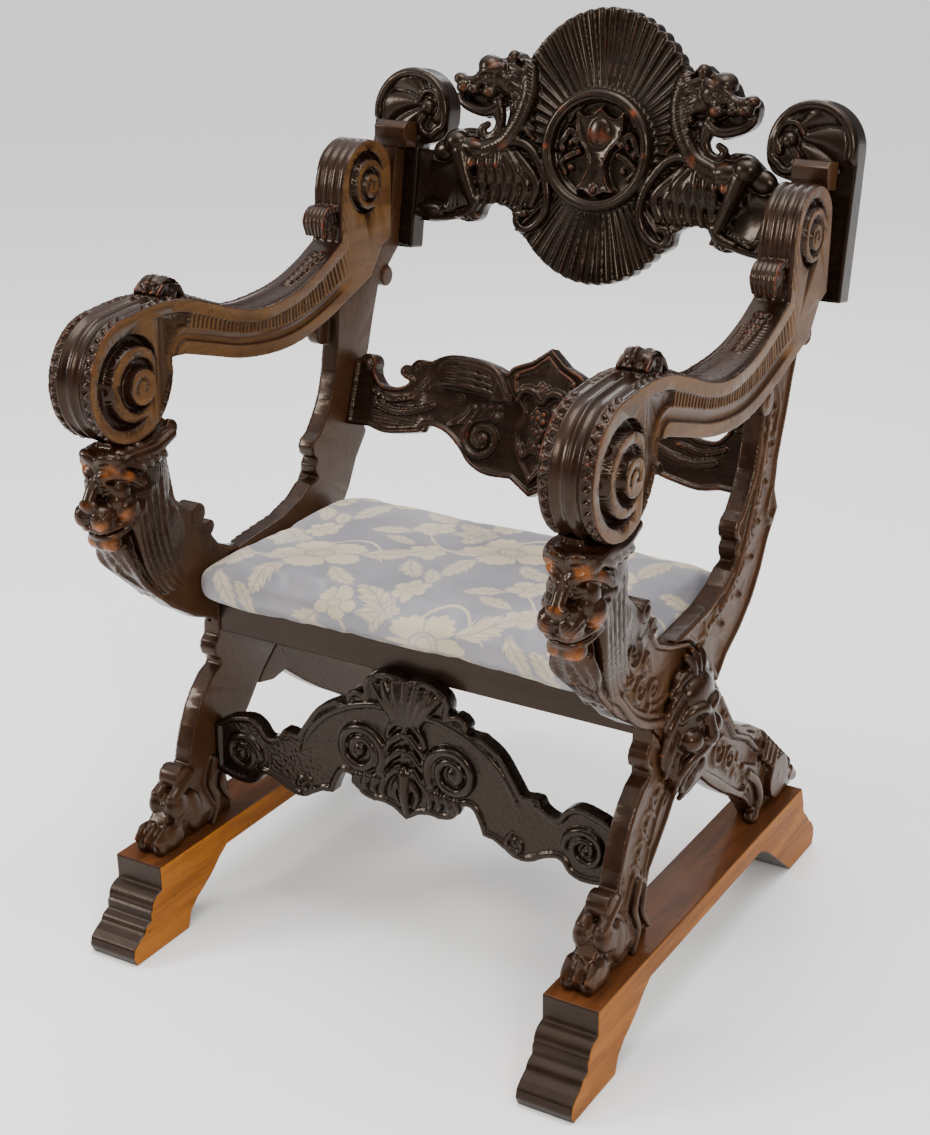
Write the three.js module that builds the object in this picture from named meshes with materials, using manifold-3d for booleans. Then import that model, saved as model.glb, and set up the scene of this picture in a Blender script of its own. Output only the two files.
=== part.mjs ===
// Carved walnut throne: an X-frame armchair on two sledge runners, with lion heads under the
// arms, a scrolled back rail and stretcher, and a pierced cresting of two griffins round a
// sunburst. Units are millimetres, +Z is up, the sitter faces -Y and X = 0 is the middle plane.

import * as THREE from 'three';
import { mergeVertices } from 'three/addons/utils/BufferGeometryUtils.js';
import Module from 'manifold-3d';

const wasm = await Module();
wasm.setup();

const { degToRad } = THREE.MathUtils;

// ---- driving dimensions ------------------------------------------------------------------

const fitGap = 0.3;             // clearance kept between touching pieces
const depthShift = 9.6;           // brings the middle of the whole depth to Y = 0

const frameMiddle = 296;        // distance of each side frame's middle plane from X = 0
const frameThickness = 23;
const innerFace = frameMiddle - frameThickness / 2;
const outerFace = frameMiddle + frameThickness / 2;

const runnerMiddle = 299;
const runnerWidth = 70;
const runnerHeight = 111;
const runnerTop = runnerHeight + fitGap;

const armInner = 275;
const armOuter = 335;
const armMiddle = (armInner + armOuter) / 2;
const rearSlimming = 0.76;       // the arm's rear width as a share of its front width
const frontVolute = { y: -297, z: 722, radius: 73 };
const rearVolute = { y: 204, z: 864 };

const crest = { y: 283.7, z: 748.4, lean: degToRad(8.45), reach: 265 };
const plank = { outer: 337, back: -21, front: 10, bottom: 19 };
const ear = { x: 279, up: 196, radius: 57.5 };
const sunburst = { up: 173, halfWidth: 136, halfHeight: 173, pleats: 24 };
const medallion = { up: 170, radius: 76 };

const rail = { y: 136.2, z: 504.7, lean: degToRad(17.7), thickness: 22 };
const stretcher = { y: -158, thickness: 18 };
const seat = { front: -203, back: 132, top: 478, halfWidth: 283 };
const seatRail = { front: -147, back: 118, bottom: 362, top: 410, width: 25 };

const walnutDark = { color: '#2a1a12', roughness: 0.38, metalness: 0 };
const walnutWorn = { color: '#6b4128', roughness: 0.42, metalness: 0 };
const walnutPale = { color: '#a8662f', roughness: 0.5, metalness: 0 };
const beechPlain = { color: '#8a4f2a', roughness: 0.6, metalness: 0 };
const damask = { color: '#a59b94', roughness: 0.75, metalness: 0 };

// ---- drawing helpers ---------------------------------------------------------------------

// Points of a smooth curve through the given pairs.
function through(pairs, steps = pairs.length) {
  return new THREE.SplineCurve(corners(pairs)).getPoints(steps);
}

function corners(pairs) {
  return pairs.map(([a, b]) => new THREE.Vector2(a, b));
}

// Points of an arc, in degrees counter-clockwise from the first axis.
function arc(a, b, radius, from, to, steps) {
  return Array.from({ length: steps + 1 }, (_, i) => {
    const angle = degToRad(from + ((to - from) * i) / steps);
    return new THREE.Vector2(a + radius * Math.cos(angle), b + radius * Math.sin(angle));
  });
}

// One half of a symmetric outline, from the top middle round to the bottom middle, made whole.
function bothHalves(half) {
  const other = half.slice(1, -1).reverse().map((point) => new THREE.Vector2(-point.x, point.y));
  return [...half, ...other];
}

// The same outline moved outwards all round by a distance.
function grow(points, distance) {
  const turn = THREE.ShapeUtils.isClockWise(points) ? -1 : 1;
  return points.map((point, i) => {
    const before = points[(i + points.length - 1) % points.length];
    const after = points[(i + 1) % points.length];
    const along = after.clone().sub(before).normalize();
    return new THREE.Vector2(point.x + turn * along.y * distance, point.y - turn * along.x * distance);
  });
}

// ---- solids ------------------------------------------------------------------------------

// A flat board: the outline is drawn in X and Y, and the thickness runs from near to far in Z.
function board(points, near, far, holes = []) {
  const shape = new THREE.Shape(points);
  shape.holes = holes.map((hole) => new THREE.Path(hole));
  const geometry = new THREE.ExtrudeGeometry(shape, { depth: far - near, bevelEnabled: false });
  return geometry.translate(0, 0, near);
}

// A side board: the outline is drawn in Y and Z, and the thickness runs in X.
const sideways = new THREE.Matrix4().makeBasis(
  new THREE.Vector3(0, 1, 0), new THREE.Vector3(0, 0, 1), new THREE.Vector3(1, 0, 0));

function sideBoard(points, near, far) {
  return board(points, near, far).applyMatrix4(sideways);
}

function box(low, high) {
  const [width, depth, height] = high.map((value, i) => value - low[i]);
  const middle = high.map((value, i) => (value + low[i]) / 2);
  return new THREE.BoxGeometry(width, depth, height).translate(...middle);
}

// A rounded lump: an ellipsoid with its half sizes, turned about X, Y and Z in degrees.
function lump(centre, half, turn = [0, 0, 0], rows = 3) {
  return new THREE.SphereGeometry(1, Math.ceil(rows * 1.5), rows)
    .scale(...half)
    .rotateX(degToRad(turn[0]))
    .rotateY(degToRad(turn[1]))
    .rotateZ(degToRad(turn[2]))
    .translate(...centre);
}

// A round peg lying along X.
function peg(y, z, radius, near, far, sides = 12) {
  return new THREE.CylinderGeometry(radius, radius, far - near, sides)
    .rotateZ(Math.PI / 2)
    .translate((near + far) / 2, y, z);
}

// A round boss standing along Z, for pieces drawn flat.
function boss(x, y, radius, near, far, sides = 10) {
  return new THREE.CylinderGeometry(radius, radius, far - near, sides)
    .rotateX(Math.PI / 2)
    .translate(x, y, (near + far) / 2);
}

// A rounded border that follows a curve in space.
function bead(points, radius) {
  const path = new THREE.CatmullRomCurve3(points.map((point) => new THREE.Vector3(...point)));
  const section = new THREE.Shape(arc(0, 0, radius, 0, 270, 3));
  const steps = points.length;
  return new THREE.ExtrudeGeometry(section, { steps, extrudePath: path });
}

function solid(geometry) {
  const bare = geometry.clone();
  bare.deleteAttribute('normal');
  bare.deleteAttribute('uv');
  const merged = mergeVertices(bare, 1e-4);
  return new wasm.Manifold(new wasm.Mesh({
    numProp: 3,
    vertProperties: new Float32Array(merged.attributes.position.array),
    triVerts: new Uint32Array(merged.index.array),
  }));
}

function shell(body) {
  const mesh = body.getMesh();
  const geometry = new THREE.BufferGeometry();
  geometry.setAttribute('position', new THREE.BufferAttribute(mesh.vertProperties, 3));
  geometry.setIndex(new THREE.BufferAttribute(mesh.triVerts, 1));
  return geometry;
}

function join(...geometries) {
  return shell(geometries.map(solid).reduce((all, next) => all.add(next)));
}

function cut(geometry, ...tools) {
  return shell(tools.map(solid).reduce((left, tool) => left.subtract(tool), solid(geometry)));
}

// The same piece for the other side of the chair.
function mirrored(geometry) {
  const copy = shell(solid(geometry)).scale(-1, 1, 1);
  const order = copy.index.array;
  for (let i = 0; i < order.length; i += 3) {
    [order[i + 1], order[i + 2]] = [order[i + 2], order[i + 1]];
  }
  return copy;
}

// ---- placing -----------------------------------------------------------------------------

const throne = new THREE.Group();
throne.position.y = depthShift;

function place(name, geometry, finish) {
  const mesh = new THREE.Mesh(geometry, new THREE.MeshStandardMaterial(finish));
  mesh.name = name;
  throne.add(mesh);
  return mesh;
}

function placePair(name, geometry, finish) {
  return [place(`${name}_right`, geometry, finish), place(`${name}_left`, mirrored(geometry), finish)];
}

// Stands a flat-drawn piece upright, facing the sitter's front, leaning back by an angle.
function stand(mesh, y, z, lean) {
  mesh.rotation.x = Math.PI / 2 - lean;
  mesh.position.set(0, y, z);
}

// ---- runner: a sledge foot, moulded at both ends and hollowed beneath ------------------------

function runnerGeometry() {
  const frontMoulding = [
    ...corners([[-312, runnerHeight], [-311, 79]]),
    ...through([[-321, 76], [-329, 70], [-331, 60]]),
    ...corners([[-334, 58], [-334, 47]]),
    ...through([[-344, 43], [-351, 33], [-364, 27], [-371, 15], [-365, 0]]),
  ];
  const hollow = [
    ...through([[-262, 0], [-254, 25], [-236, 38], [-214, 51], [-198, 66], [-178, 80]]),
    ...through([[150, 82], [176, 70], [206, 47], [246, 16], [266, 0]]),
  ];
  const rearMoulding = [
    ...through([[346, 0], [352, 17], [344, 33], [328, 46]]),
    ...through([[318, 58], [304, 70], [301, 84]]),
    ...corners([[290, runnerHeight]]),
  ];
  const outline = [...frontMoulding, ...hollow, ...rearMoulding];
  return sideBoard(outline, runnerMiddle - runnerWidth / 2, runnerMiddle + runnerWidth / 2);
}

placePair('runner', runnerGeometry(), walnutPale);

// ---- arm: S-curved, rolled into a volute at each end -----------------------------------------

const armOutline = [
  ...arc(frontVolute.y, frontVolute.z, frontVolute.radius, 90, 368, 16),
  ...through([[-200, 730], [-150, 716], [-100, 702], [-50, 694], [0, 691], [50, 694], [100, 705],
    [150, 722], [205, 742]]),
  ...corners([[232, 778], [255, 786], [255, 868]]),
  ...through([[250, 893], [226, 914], [192, 920], [158, 903], [142, 868], [139, 830]]),
  ...through([[136, 798], [100, 780], [50, 762], [0, 754], [-50, 753], [-100, 763], [-150, 780],
    [-200, 795], [-240, 799], [-270, 798]]),
];

// The sunk band between the flat borders on the sides of the arm.
const armChannel = [
  ...through([[-236, 752], [-200, 748], [-150, 734], [-100, 719], [-50, 711], [0, 708], [50, 711],
    [100, 722], [150, 741]]),
  ...through([[128, 772], [100, 759], [50, 743], [0, 736], [-50, 735], [-100, 744], [-150, 761],
    [-200, 775], [-246, 779]]),
];

// A volute's side: a disc and a button stand in a round sinking, each a little off centre.
function spiral({ y, z }, reach, face, outwards) {
  const sunk = 7 * outwards;
  const span = (from, to) => [Math.min(from, to), Math.max(from, to)];
  const sunkTurn = peg(y - 5, z + 3, reach * 1.24, ...span(face - sunk, face + 2 * sunk));
  const disc = peg(y + 2, z - 2, reach, ...span(face - 2 * sunk, face + 3 * outwards));
  const button = peg(y + 8, z - 5, reach * 0.5, ...span(face - sunk, face + 6 * outwards), 8);
  return (arm) => join(cut(arm, sunkTurn), disc, button);
}

function armGeometry() {
  const channels = [
    sideBoard(armChannel, armOuter - 3, armOuter + 5),
    sideBoard(armChannel, armInner - 5, armInner + 3),
  ];
  const plain = cut(sideBoard(armOutline, armInner, armOuter), ...channels);
  const rolled = [
    spiral(frontVolute, 44, armOuter, 1),
    spiral(frontVolute, 44, armInner, -1),
    spiral(rearVolute, 33, armOuter, 1),
    spiral(rearVolute, 33, armInner, -1),
  ].reduce((arm, roll) => roll(arm), plain);
  const frontBud = lump([armMiddle, -196, 810], [12, 22, 20], [14, 0, 0]);
  const frontLeaf = lump([armMiddle, -150, 787], [12, 46, 10], [-20, 0, 0]);
  const rearLeaf = lump([armMiddle, 80, 776], [24, 50, 20], [26, 0, 0]);
  const rearBud = lump([armMiddle, 120, 812], [25, 24, 14], [10, 0, 0]);
  return slimmed(join(rolled, frontBud, frontLeaf, rearLeaf, rearBud));
}

// The arm grows narrower towards the back post.
function slimmed(geometry) {
  const { position } = geometry.attributes;
  for (let i = 0; i < position.count; i += 1) {
    const share = THREE.MathUtils.smoothstep(position.getY(i), -60, 110);
    const width = 1 + (rearSlimming - 1) * share;
    position.setX(i, armMiddle + (position.getX(i) - armMiddle) * width);
  }
  return geometry;
}

placePair('arm', armGeometry(), walnutWorn);

// ---- side frame: two curved members halved into each other at the crossing --------------------

// A point of the leaning crest, in the Y and Z of the side boards.
function crestPoint(up, forward) {
  const { lean } = crest;
  return [
    crest.y + up * Math.sin(lean) - forward * Math.cos(lean),
    crest.z + up * Math.cos(lean) + forward * Math.sin(lean),
  ];
}

const postFront = plank.front + fitGap;

const uprightOutline = [
  ...corners([[-290, runnerTop]]),
  ...through([[-276, 150], [-246, 178], [-224, 197]]),
  ...through([[-217, 226], [-205, 258], [-190, 283], [-170, 305], [-148, 316]]),
  ...corners([[-149, 324], [-158, 330], [-161, 340], [-158, 349], [-150, 356], [-150, 400]]),
  ...through([[-150, 436], [-113, 459], [-31, 464], [27, 477], [56, 494]]),
  ...corners([[76, 498], [69, 507], [67, 516], [74, 524], [66, 531], [63, 541], [68, 551], [81, 557]]),
  ...through([[97, 577], [114, 609], [124, 657], [130, 720]]),
  ...corners([[150, 790], [256, 800], crestPoint(140, 34), crestPoint(150, 34), crestPoint(162, 42),
    crestPoint(176, 45), crestPoint(184, 36), crestPoint(184, postFront), crestPoint(19, postFront)]),
  ...through([[246, 744], [225, 727], [207, 668], [195, 631], [183, 601], [178, 560]]),
  ...corners([[192, 532], [184, 522]]),
  ...through([[166, 500], [141, 453], [105, 416], [55, 387]]),
  ...through([[20, 350], [-30, 300], [-76, 261], [-104, 222], [-135, 200], [-146, 165], [-160, runnerTop]]),
].reverse();

const supportOutline = [
  ...through([[-235, 655], [-233, 609], [-226, 580], [-217, 550], [-180, 527], [-159, 501], [-150, 483],
    [-120, 465], [-70, 452], [-20, 420], [43, 346]]),
  ...through([[76, 305], [100, 277], [135, 263], [172, 246], [192, 227], [202, 208]]),
  ...through([[228, 190], [256, 164], [292, 140], [320, runnerTop]]),
  ...corners([[184, runnerTop]]),
  ...through([[170, 128], [138, 157], [99, 179], [52, 209], [13, 238], [-10, 256]]),
  ...through([[-38, 252], [-73, 262], [-98, 310], [-144, 375], [-173, 387], [-220, 412], [-262, 446],
    [-296, 480], [-318, 520]]),
  ...corners([[-330, 560], [-330, 655]]),
].reverse();

function uprightGeometry() {
  const lap = sideBoard(grow(supportOutline, fitGap), frameMiddle - fitGap / 2, outerFace + 1);
  const armClear = sideBoard(grow(armOutline, fitGap), armInner, armOuter);
  const member = cut(sideBoard(uprightOutline, innerFace, outerFace), lap, armClear);

  const capital = sideBoard(corners([crestPoint(150, postFront), crestPoint(150, 34), crestPoint(162, 42),
    crestPoint(176, 45), crestPoint(184, 36), crestPoint(184, postFront)]), 268, 315);
  const knob = peg(-236, 195, 15.5, innerFace - 1.5, outerFace + 1.5);
  const heelScroll = peg(243, 735, 13, innerFace - 3, outerFace + 3);
  const sideScroll = peg(118, 684, 17, 302, 316);

  const archBead = bead([[outerFace, 20, 459], [outerFace, 55, 478], [outerFace, 86, 520],
    [outerFace, 112, 580], [outerFace, 136, 640], [outerFace, 142, 700]], 6);

  const foot = lump([frameMiddle, -212, 138], [23, 60, 42], [-14, 0, 0], 4);
  const heel = lump([frameMiddle, -172, 140], [18, 26, 52], [20, 0, 0]);
  const toes = [-15, 0, 15].flatMap((side) => [
    lump([frameMiddle + side, -270, 128], [9, 34, 23], [-10, 0, 0]),
    lump([frameMiddle + side, -246, 160], [9, 24, 21], [-20, 0, 0]),
  ]);
  const ground = box([200, -400, 40], [400, 0, runnerTop]);
  const whole = join(member, capital, knob, heelScroll, sideScroll, archBead,
    foot, heel, ...toes);
  return cut(whole, ground);
}

function supportGeometry() {
  const lap = sideBoard(grow(uprightOutline, fitGap), innerFace - 1, frameMiddle + fitGap / 2);
  const member = cut(sideBoard(supportOutline, innerFace, outerFace), lap);

  const neck = lump([frameMiddle, -262, 520], [25, 62, 78], [28, 0, 0], 4);
  const skull = lump([frameMiddle, -288, 592], [31, 48, 50], [0, 0, 0], 4);
  const cap = lump([frameMiddle, -296, 634], [36, 50, 22], [-8, 0, 0]);
  const brow = lump([frameMiddle, -326, 606], [24, 18, 13]);
  const muzzle = lump([frameMiddle, -334, 574], [19, 30, 20], [0, 0, 0], 4);
  const cheeks = [-19, 19].map((side) => lump([frameMiddle + side, -312, 572], [14, 26, 26]));
  const chin = lump([frameMiddle, -320, 541], [17, 22, 15]);
  const beard = lump([frameMiddle, -296, 510], [18, 30, 34], [30, 0, 0]);

  const legBead = bead([[outerFace, 62, 306], [outerFace, 96, 264], [outerFace, 150, 236],
    [outerFace, 200, 190], [outerFace, 262, 146]], 6);
  const footScroll = peg(236, 150, 30, 280, 320, 14);
  const footLeaf = lump([frameMiddle, 262, 128], [26, 64, 26], [-24, 0, 0]);

  const volute = peg(frontVolute.y, frontVolute.z, frontVolute.radius + 1, 200, 400, 30);
  const ground = box([200, 100, 40], [400, 400, runnerTop]);
  const whole = join(member, neck, skull, cap, brow, muzzle, ...cheeks, chin, beard, legBead,
    footScroll, footLeaf);
  return cut(whole, volute, ground);
}

placePair('upright', uprightGeometry(), walnutWorn);
placePair('arm_support', supportGeometry(), walnutDark);

// ---- crossing mask: a grotesque lion's face applied over the halved joint ----------------------

function maskGeometry() {
  const { y, z } = { y: -62, z: 346 };
  const near = outerFace + fitGap;
  const leaves = Array.from({ length: 24 }, (_, i) => {
    const angle = (i * Math.PI) / 12;
    const reach = i % 2 === 0 ? 88 : 72;
    return new THREE.Vector2(y + reach * Math.cos(angle), z + (reach + 6) * Math.sin(angle));
  });
  const ground = sideBoard(leaves, near, near + 7);
  const lumps = [
    lump([near + 8, y, z], [21, 54, 64], [0, 0, 0], 4),
    lump([near + 14, y, z + 38], [20, 50, 20]),
    lump([near + 16, y - 18, z + 4], [15, 17, 18]),
    lump([near + 16, y + 18, z + 4], [15, 17, 18]),
    lump([near + 20, y, z - 2], [18, 14, 24]),
    lump([near + 15, y, z - 36], [15, 22, 16]),
  ];
  const back = box([250, y - 150, z - 150], [near, y + 150, z + 150]);
  return cut(join(ground, ...lumps), back);
}

placePair('crossing_mask', maskGeometry(), walnutDark);

// ---- crest posts: leaning planks, each with a shell-scroll ear ---------------------------------

function crestPostGeometry() {
  const outline = [
    ...corners([[crest.reach + fitGap, plank.bottom], [plank.outer, plank.bottom]]),
    ...arc(ear.x, ear.up, ear.radius, 0, 190, 13),
    ...through([[224, 176], [236, 162], [crest.reach + fitGap, 154]]),
  ];
  const flat = board(outline, plank.back, plank.front);
  const eye = lump([247, 204, plank.front], [19, 17, 15]);
  const flutes = [20, 52, 84, 116, 148].map((angle) => {
    const turn = degToRad(angle);
    const centre = [268 + 40 * Math.cos(turn), 204 + 27 * Math.sin(turn), plank.front - 1];
    return lump(centre, [34, 11, 8], [0, 0, angle * 0.8]);
  });
  const keep = board(arc(ear.x, ear.up, ear.radius - 1, 0, 345, 23), plank.back - 30, plank.front + 30);
  const carving = shell([eye, ...flutes].map(solid).reduce((all, next) => all.add(next)).intersect(solid(keep)));
  return join(flat, carving);
}

placePair('crest_post', crestPostGeometry(), walnutDark)
  .forEach((mesh) => stand(mesh, crest.y, crest.z, crest.lean));

// ---- crest panel: sunburst, ringed medallion and two griffins ----------------------------------

// An oval of rays: every other column is a valley, lower and a little shorter than the ridges.
function sunburstGeometry() {
  const columns = sunburst.pleats * 2;
  const rings = [{ reach: 0.45, forward: 12, fold: 1 }, { reach: 1, forward: 9, fold: 3.5 }];
  const back = -12;
  const points = [[0, sunburst.up, 14]];
  const column = (i, reach, forward) => {
    const angle = (i * 2 * Math.PI) / columns;
    points.push([
      sunburst.halfWidth * reach * Math.cos(angle),
      sunburst.up + sunburst.halfHeight * reach * Math.sin(angle),
      forward,
    ]);
  };
  for (const { reach, forward, fold } of rings) {
    for (let i = 0; i < columns; i += 1) {
      const ridge = i % 2 === 0;
      column(i, reach * (ridge ? 1 : 0.975), forward + (ridge ? fold : -fold));
    }
  }
  for (let i = 0; i < columns; i += 1) {
    column(i, i % 2 === 0 ? 1 : 0.975, back);
  }
  points.push([0, sunburst.up, back]);

  const faces = [];
  const last = points.length - 1;
  for (let i = 0; i < columns; i += 1) {
    const next = (i + 1) % columns;
    faces.push(0, 1 + i, 1 + next);
    for (let ring = 0; ring < 2; ring += 1) {
      const inner = 1 + ring * columns;
      const outer = inner + columns;
      faces.push(inner + i, outer + i, outer + next, inner + i, outer + next, inner + next);
    }
    faces.push(last, 1 + 2 * columns + next, 1 + 2 * columns + i);
  }
  const geometry = new THREE.BufferGeometry();
  geometry.setAttribute('position', new THREE.Float32BufferAttribute(points.flat(), 3));
  geometry.setIndex(faces);
  return geometry;
}

function medallionParts() {
  const profile = corners([[62, 6], [medallion.radius, 6], [medallion.radius, 23], [72, 28], [66, 28],
    [62, 24], [62, 6]]);
  const ring = new THREE.LatheGeometry(profile, 20).rotateX(Math.PI / 2).translate(0, medallion.up, 0);
  const shield = board(bothHalves([
    ...corners([[0, 44]]),
    ...through([[10, 40], [28, 46], [32, 20], [14, -10], [22, -36], [0, -52]]),
  ].map((point) => point.add(new THREE.Vector2(0, medallion.up)))), 6, 20);
  return [ring, shield];
}

// The right-hand griffin's parts: a back board with its outline, then head, body, legs and wing.
function griffinParts() {
  const outline = [
    ...corners([[70, 60]]),
    ...through([[96, 50], [112, 62], [116, 80], [140, 90], [158, 86], [166, 68], [184, 62], [206, 66],
      [226, 58], [250, 58], [crest.reach, 70]]),
    ...corners([[crest.reach, 150]]),
    ...through([[238, 150], [217, 168], [200, 181], [182, 183], [168, 176]]),
    ...through([[158, 182], [164, 198], [184, 204], [202, 216], [207, 236], [200, 250], [182, 252],
      [170, 266], [150, 273], [124, 281], [98, 276], [70, 285]]),
  ];
  const throatHole = Array.from({ length: 8 }, (_, i) => {
    const angle = (-i * Math.PI) / 4;
    return new THREE.Vector2(125 + 6 * Math.cos(angle), 199 + 15 * Math.sin(angle));
  });
  const silhouette = board(outline, -11, 8, [throatHole]);
  const head = [
    lump([140, 250, 14], [30, 24, 20], [0, 0, -10]),
    lump([182, 240, 16], [32, 13, 15], [0, 0, 8]),
    lump([176, 216, 13], [28, 9, 12], [0, 0, 22]),
    lump([148, 262, 18], [22, 9, 12], [0, 0, 4]),
  ];
  const neck = lump([104, 212, 8], [14, 40, 14], [0, 0, 8]);
  const body = [
    lump([188, 156, 12], [34, 24, 20], [0, 0, -16]),
    lump([150, 140, 10], [44, 26, 16], [0, 0, 14]),
    lump([186, 96, 8], [16, 34, 13], [0, 0, 14]),
    lump([238, 68, 6], [22, 11, 12]),
  ];
  const wing = [0, 1].map((tier) => board([
    ...arc(112 + tier * 18, 118 + tier * 10, 54 - tier * 20, 62, 236, 7),
    ...through([[96 + tier * 20, 66 + tier * 20], [120 + tier * 12, 84 + tier * 14], [166 - tier * 8, 118]]),
  ], 3, 14.6 + tier * 6));
  return [silhouette, ...head, neck, ...body, ...wing];
}

function crestPanelGeometry() {
  const griffin = griffinParts();
  return join(sunburstGeometry(), ...medallionParts(), ...griffin, ...griffin.map(mirrored));
}

stand(place('crest_panel', crestPanelGeometry(), walnutDark), crest.y, crest.z, crest.lean);

// ---- back rail: scrolled board with a pointed cartouche ----------------------------------------

function backRailGeometry() {
  const end = innerFace - fitGap / 2;
  const half = [
    ...corners([[0, 189]]),
    ...through([[24, 170], [48, 160], [57, 150]]),
    ...through([[80, 158], [112, 163], [148, 160], [172, 148]]),
    ...through([[192, 148], [208, 140], [206, 128], [196, 120]]),
    ...through([[216, 109], [238, 110], [250, 122]]),
    ...arc(264, 134, 13, 200, 40, 5),
    ...corners([[end, 136], [end, 50]]),
    ...through([[250, 52], [224, 47], [190, 52], [172, 56], [150, 66], [130, 60], [110, 45], [92, 27],
      [66, 17], [30, 18]]),
    ...corners([[0, 0]]),
  ];
  const { thickness } = rail;
  const ground = board(bothHalves(half), -thickness / 2, thickness / 2);
  const cartouche = board(bothHalves([
    ...corners([[0, 178]]),
    ...through([[20, 163], [42, 150], [40, 120], [24, 96], [30, 66], [20, 40]]),
    ...corners([[0, 22]]),
  ]), 0, thickness / 2 + 7);
  const carving = [-1, 1].flatMap((side) => [
    boss(side * 78, 64, 22, 0, thickness / 2 + 6),
    lump([side * 120, 122, thickness / 2], [58, 26, 8], [0, 0, side * -10]),
    lump([side * 196, 84, thickness / 2], [52, 18, 6], [0, 0, side * -8]),
    boss(side * 262, 132, 11, 0, thickness / 2 + 5, 8),
  ]);
  return join(ground, cartouche, ...carving);
}

stand(place('back_rail', backRailGeometry(), walnutDark), rail.y, rail.z, rail.lean);

// ---- front stretcher: scrolled board with spiral eyes and a shell plume ------------------------

function stretcherGeometry() {
  const end = innerFace - fitGap / 2;
  const half = [
    ...corners([[0, 364]]),
    ...through([[22, 372], [46, 366], [60, 349], [58, 336]]),
    ...through([[78, 337], [85, 328], [82, 319]]),
    ...through([[102, 319], [127, 303], [146, 277], [158, 258]]),
    ...through([[180, 259], [186, 249], [202, 243], [214, 257], [232, 264], [262, 257]]),
    ...corners([[end, 244], [end, 178]]),
    ...through([[262, 172], [238, 170], [220, 176], [208, 190], [190, 187], [160, 177], [136, 182],
      [120, 191]]),
    ...through([[106, 192], [100, 208], [90, 224], [76, 222], [66, 204], [34, 199]]),
    ...corners([[0, 184]]),
  ];
  const { thickness } = stretcher;
  const ground = board(bothHalves(half), -thickness / 2, thickness / 2);
  const eyes = [-1, 1].flatMap((side) => [
    boss(side * 62, 262, 30, 0, thickness / 2 + 6, 12),
    boss(side * 240, 213, 26, 0, thickness / 2 + 6, 12),
  ]);
  const plume = [-2, -1, 0, 1, 2].map((flute) => lump(
    [flute * 16, 336, thickness / 2 - 2], [10, 35, 10], [0, 0, -flute * 17]));
  const leaf = lump([0, 226, thickness / 2], [22, 40, 9]);
  return join(ground, ...eyes, ...plume, leaf);
}

stand(place('front_stretcher', stretcherGeometry(), walnutDark), stretcher.y, 0, 0);

// ---- seat: four plain rails and the upholstered cushion ----------------------------------------

const railReach = innerFace - fitGap;
const backOfFront = seatRail.front + seatRail.width;
const frontOfBack = seatRail.back - seatRail.width;

place('seat_rail_front', box([-railReach, seatRail.front, seatRail.bottom],
  [railReach, backOfFront, seatRail.top]), walnutDark);
place('seat_rail_back', box([-railReach, frontOfBack, seatRail.bottom],
  [railReach, seatRail.back, seatRail.top]), beechPlain);
placePair('seat_rail_side', box(
  [railReach - seatRail.width, backOfFront + fitGap, seatRail.bottom],
  [railReach, frontOfBack - fitGap, seatRail.top]), beechPlain);

function cushionGeometry() {
  const roll = 16;
  const { front, back, halfWidth } = seat;
  const right = halfWidth - roll;
  const low = front + roll;
  const high = back - roll;
  const turn = 18;
  const outline = [
    ...arc(right - turn, low + turn, turn, 270, 360, 4),
    ...arc(right - turn, high - turn, turn, 0, 90, 4),
    ...arc(-right + turn, high - turn, turn, 90, 180, 4),
    ...arc(-right + turn, low + turn, turn, 180, 270, 4),
  ];
  const depth = seat.top - seatRail.top - fitGap - 2 * roll;
  const geometry = new THREE.ExtrudeGeometry(new THREE.Shape(outline), {
    depth, bevelEnabled: true, bevelThickness: roll, bevelSize: roll, bevelSegments: 2,
  });
  return geometry.translate(0, 0, seatRail.top + fitGap + roll);
}

place('seat_cushion', cushionGeometry(), damask);

export default throne;
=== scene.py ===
"""Looks of a carved walnut throne: an X-frame armchair on two sledge runners, with lion heads
under the arms, a griffin and sunburst cresting and a damask cushion, built round its CAD frame."""

import math
import bmesh
import bpy
import numpy as np
from mathutils import Matrix, Vector, kdtree, noise


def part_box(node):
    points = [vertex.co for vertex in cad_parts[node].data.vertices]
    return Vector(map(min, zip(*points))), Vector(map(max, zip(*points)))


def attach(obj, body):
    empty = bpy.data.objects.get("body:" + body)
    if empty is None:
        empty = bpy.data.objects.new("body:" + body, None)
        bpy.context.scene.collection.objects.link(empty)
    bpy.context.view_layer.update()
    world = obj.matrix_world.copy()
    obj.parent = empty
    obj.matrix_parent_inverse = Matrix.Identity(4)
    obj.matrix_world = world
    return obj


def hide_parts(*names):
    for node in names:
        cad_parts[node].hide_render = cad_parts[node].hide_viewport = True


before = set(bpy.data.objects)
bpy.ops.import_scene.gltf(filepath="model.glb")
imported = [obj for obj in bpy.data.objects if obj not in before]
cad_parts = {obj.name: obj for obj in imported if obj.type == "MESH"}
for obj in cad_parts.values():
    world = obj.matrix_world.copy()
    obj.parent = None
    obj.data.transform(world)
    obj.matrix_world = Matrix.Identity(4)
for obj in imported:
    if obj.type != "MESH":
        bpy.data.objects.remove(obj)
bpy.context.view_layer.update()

# ---- runners -----------------------------------------------------------------------------------
# Two sledge feet of solid walnut, sawn to a moulded profile and hollowed beneath.
# Tops and moulded ends are stained dark and waxed; the sawn sides stay orange-brown.

SHIFT = 0.0096  # the CAD frame sets the middle of the whole depth at Y = 0


def linear(hex_colour):
    """Turns an sRGB hex colour into the linear RGBA that a shader socket holds."""
    parts = [int(hex_colour[i:i + 2], 16) / 255 for i in (1, 3, 5)]
    return [c / 12.92 if c <= 0.04045 else ((c + 0.055) / 1.055) ** 2.4 for c in parts] + [1.0]


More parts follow.
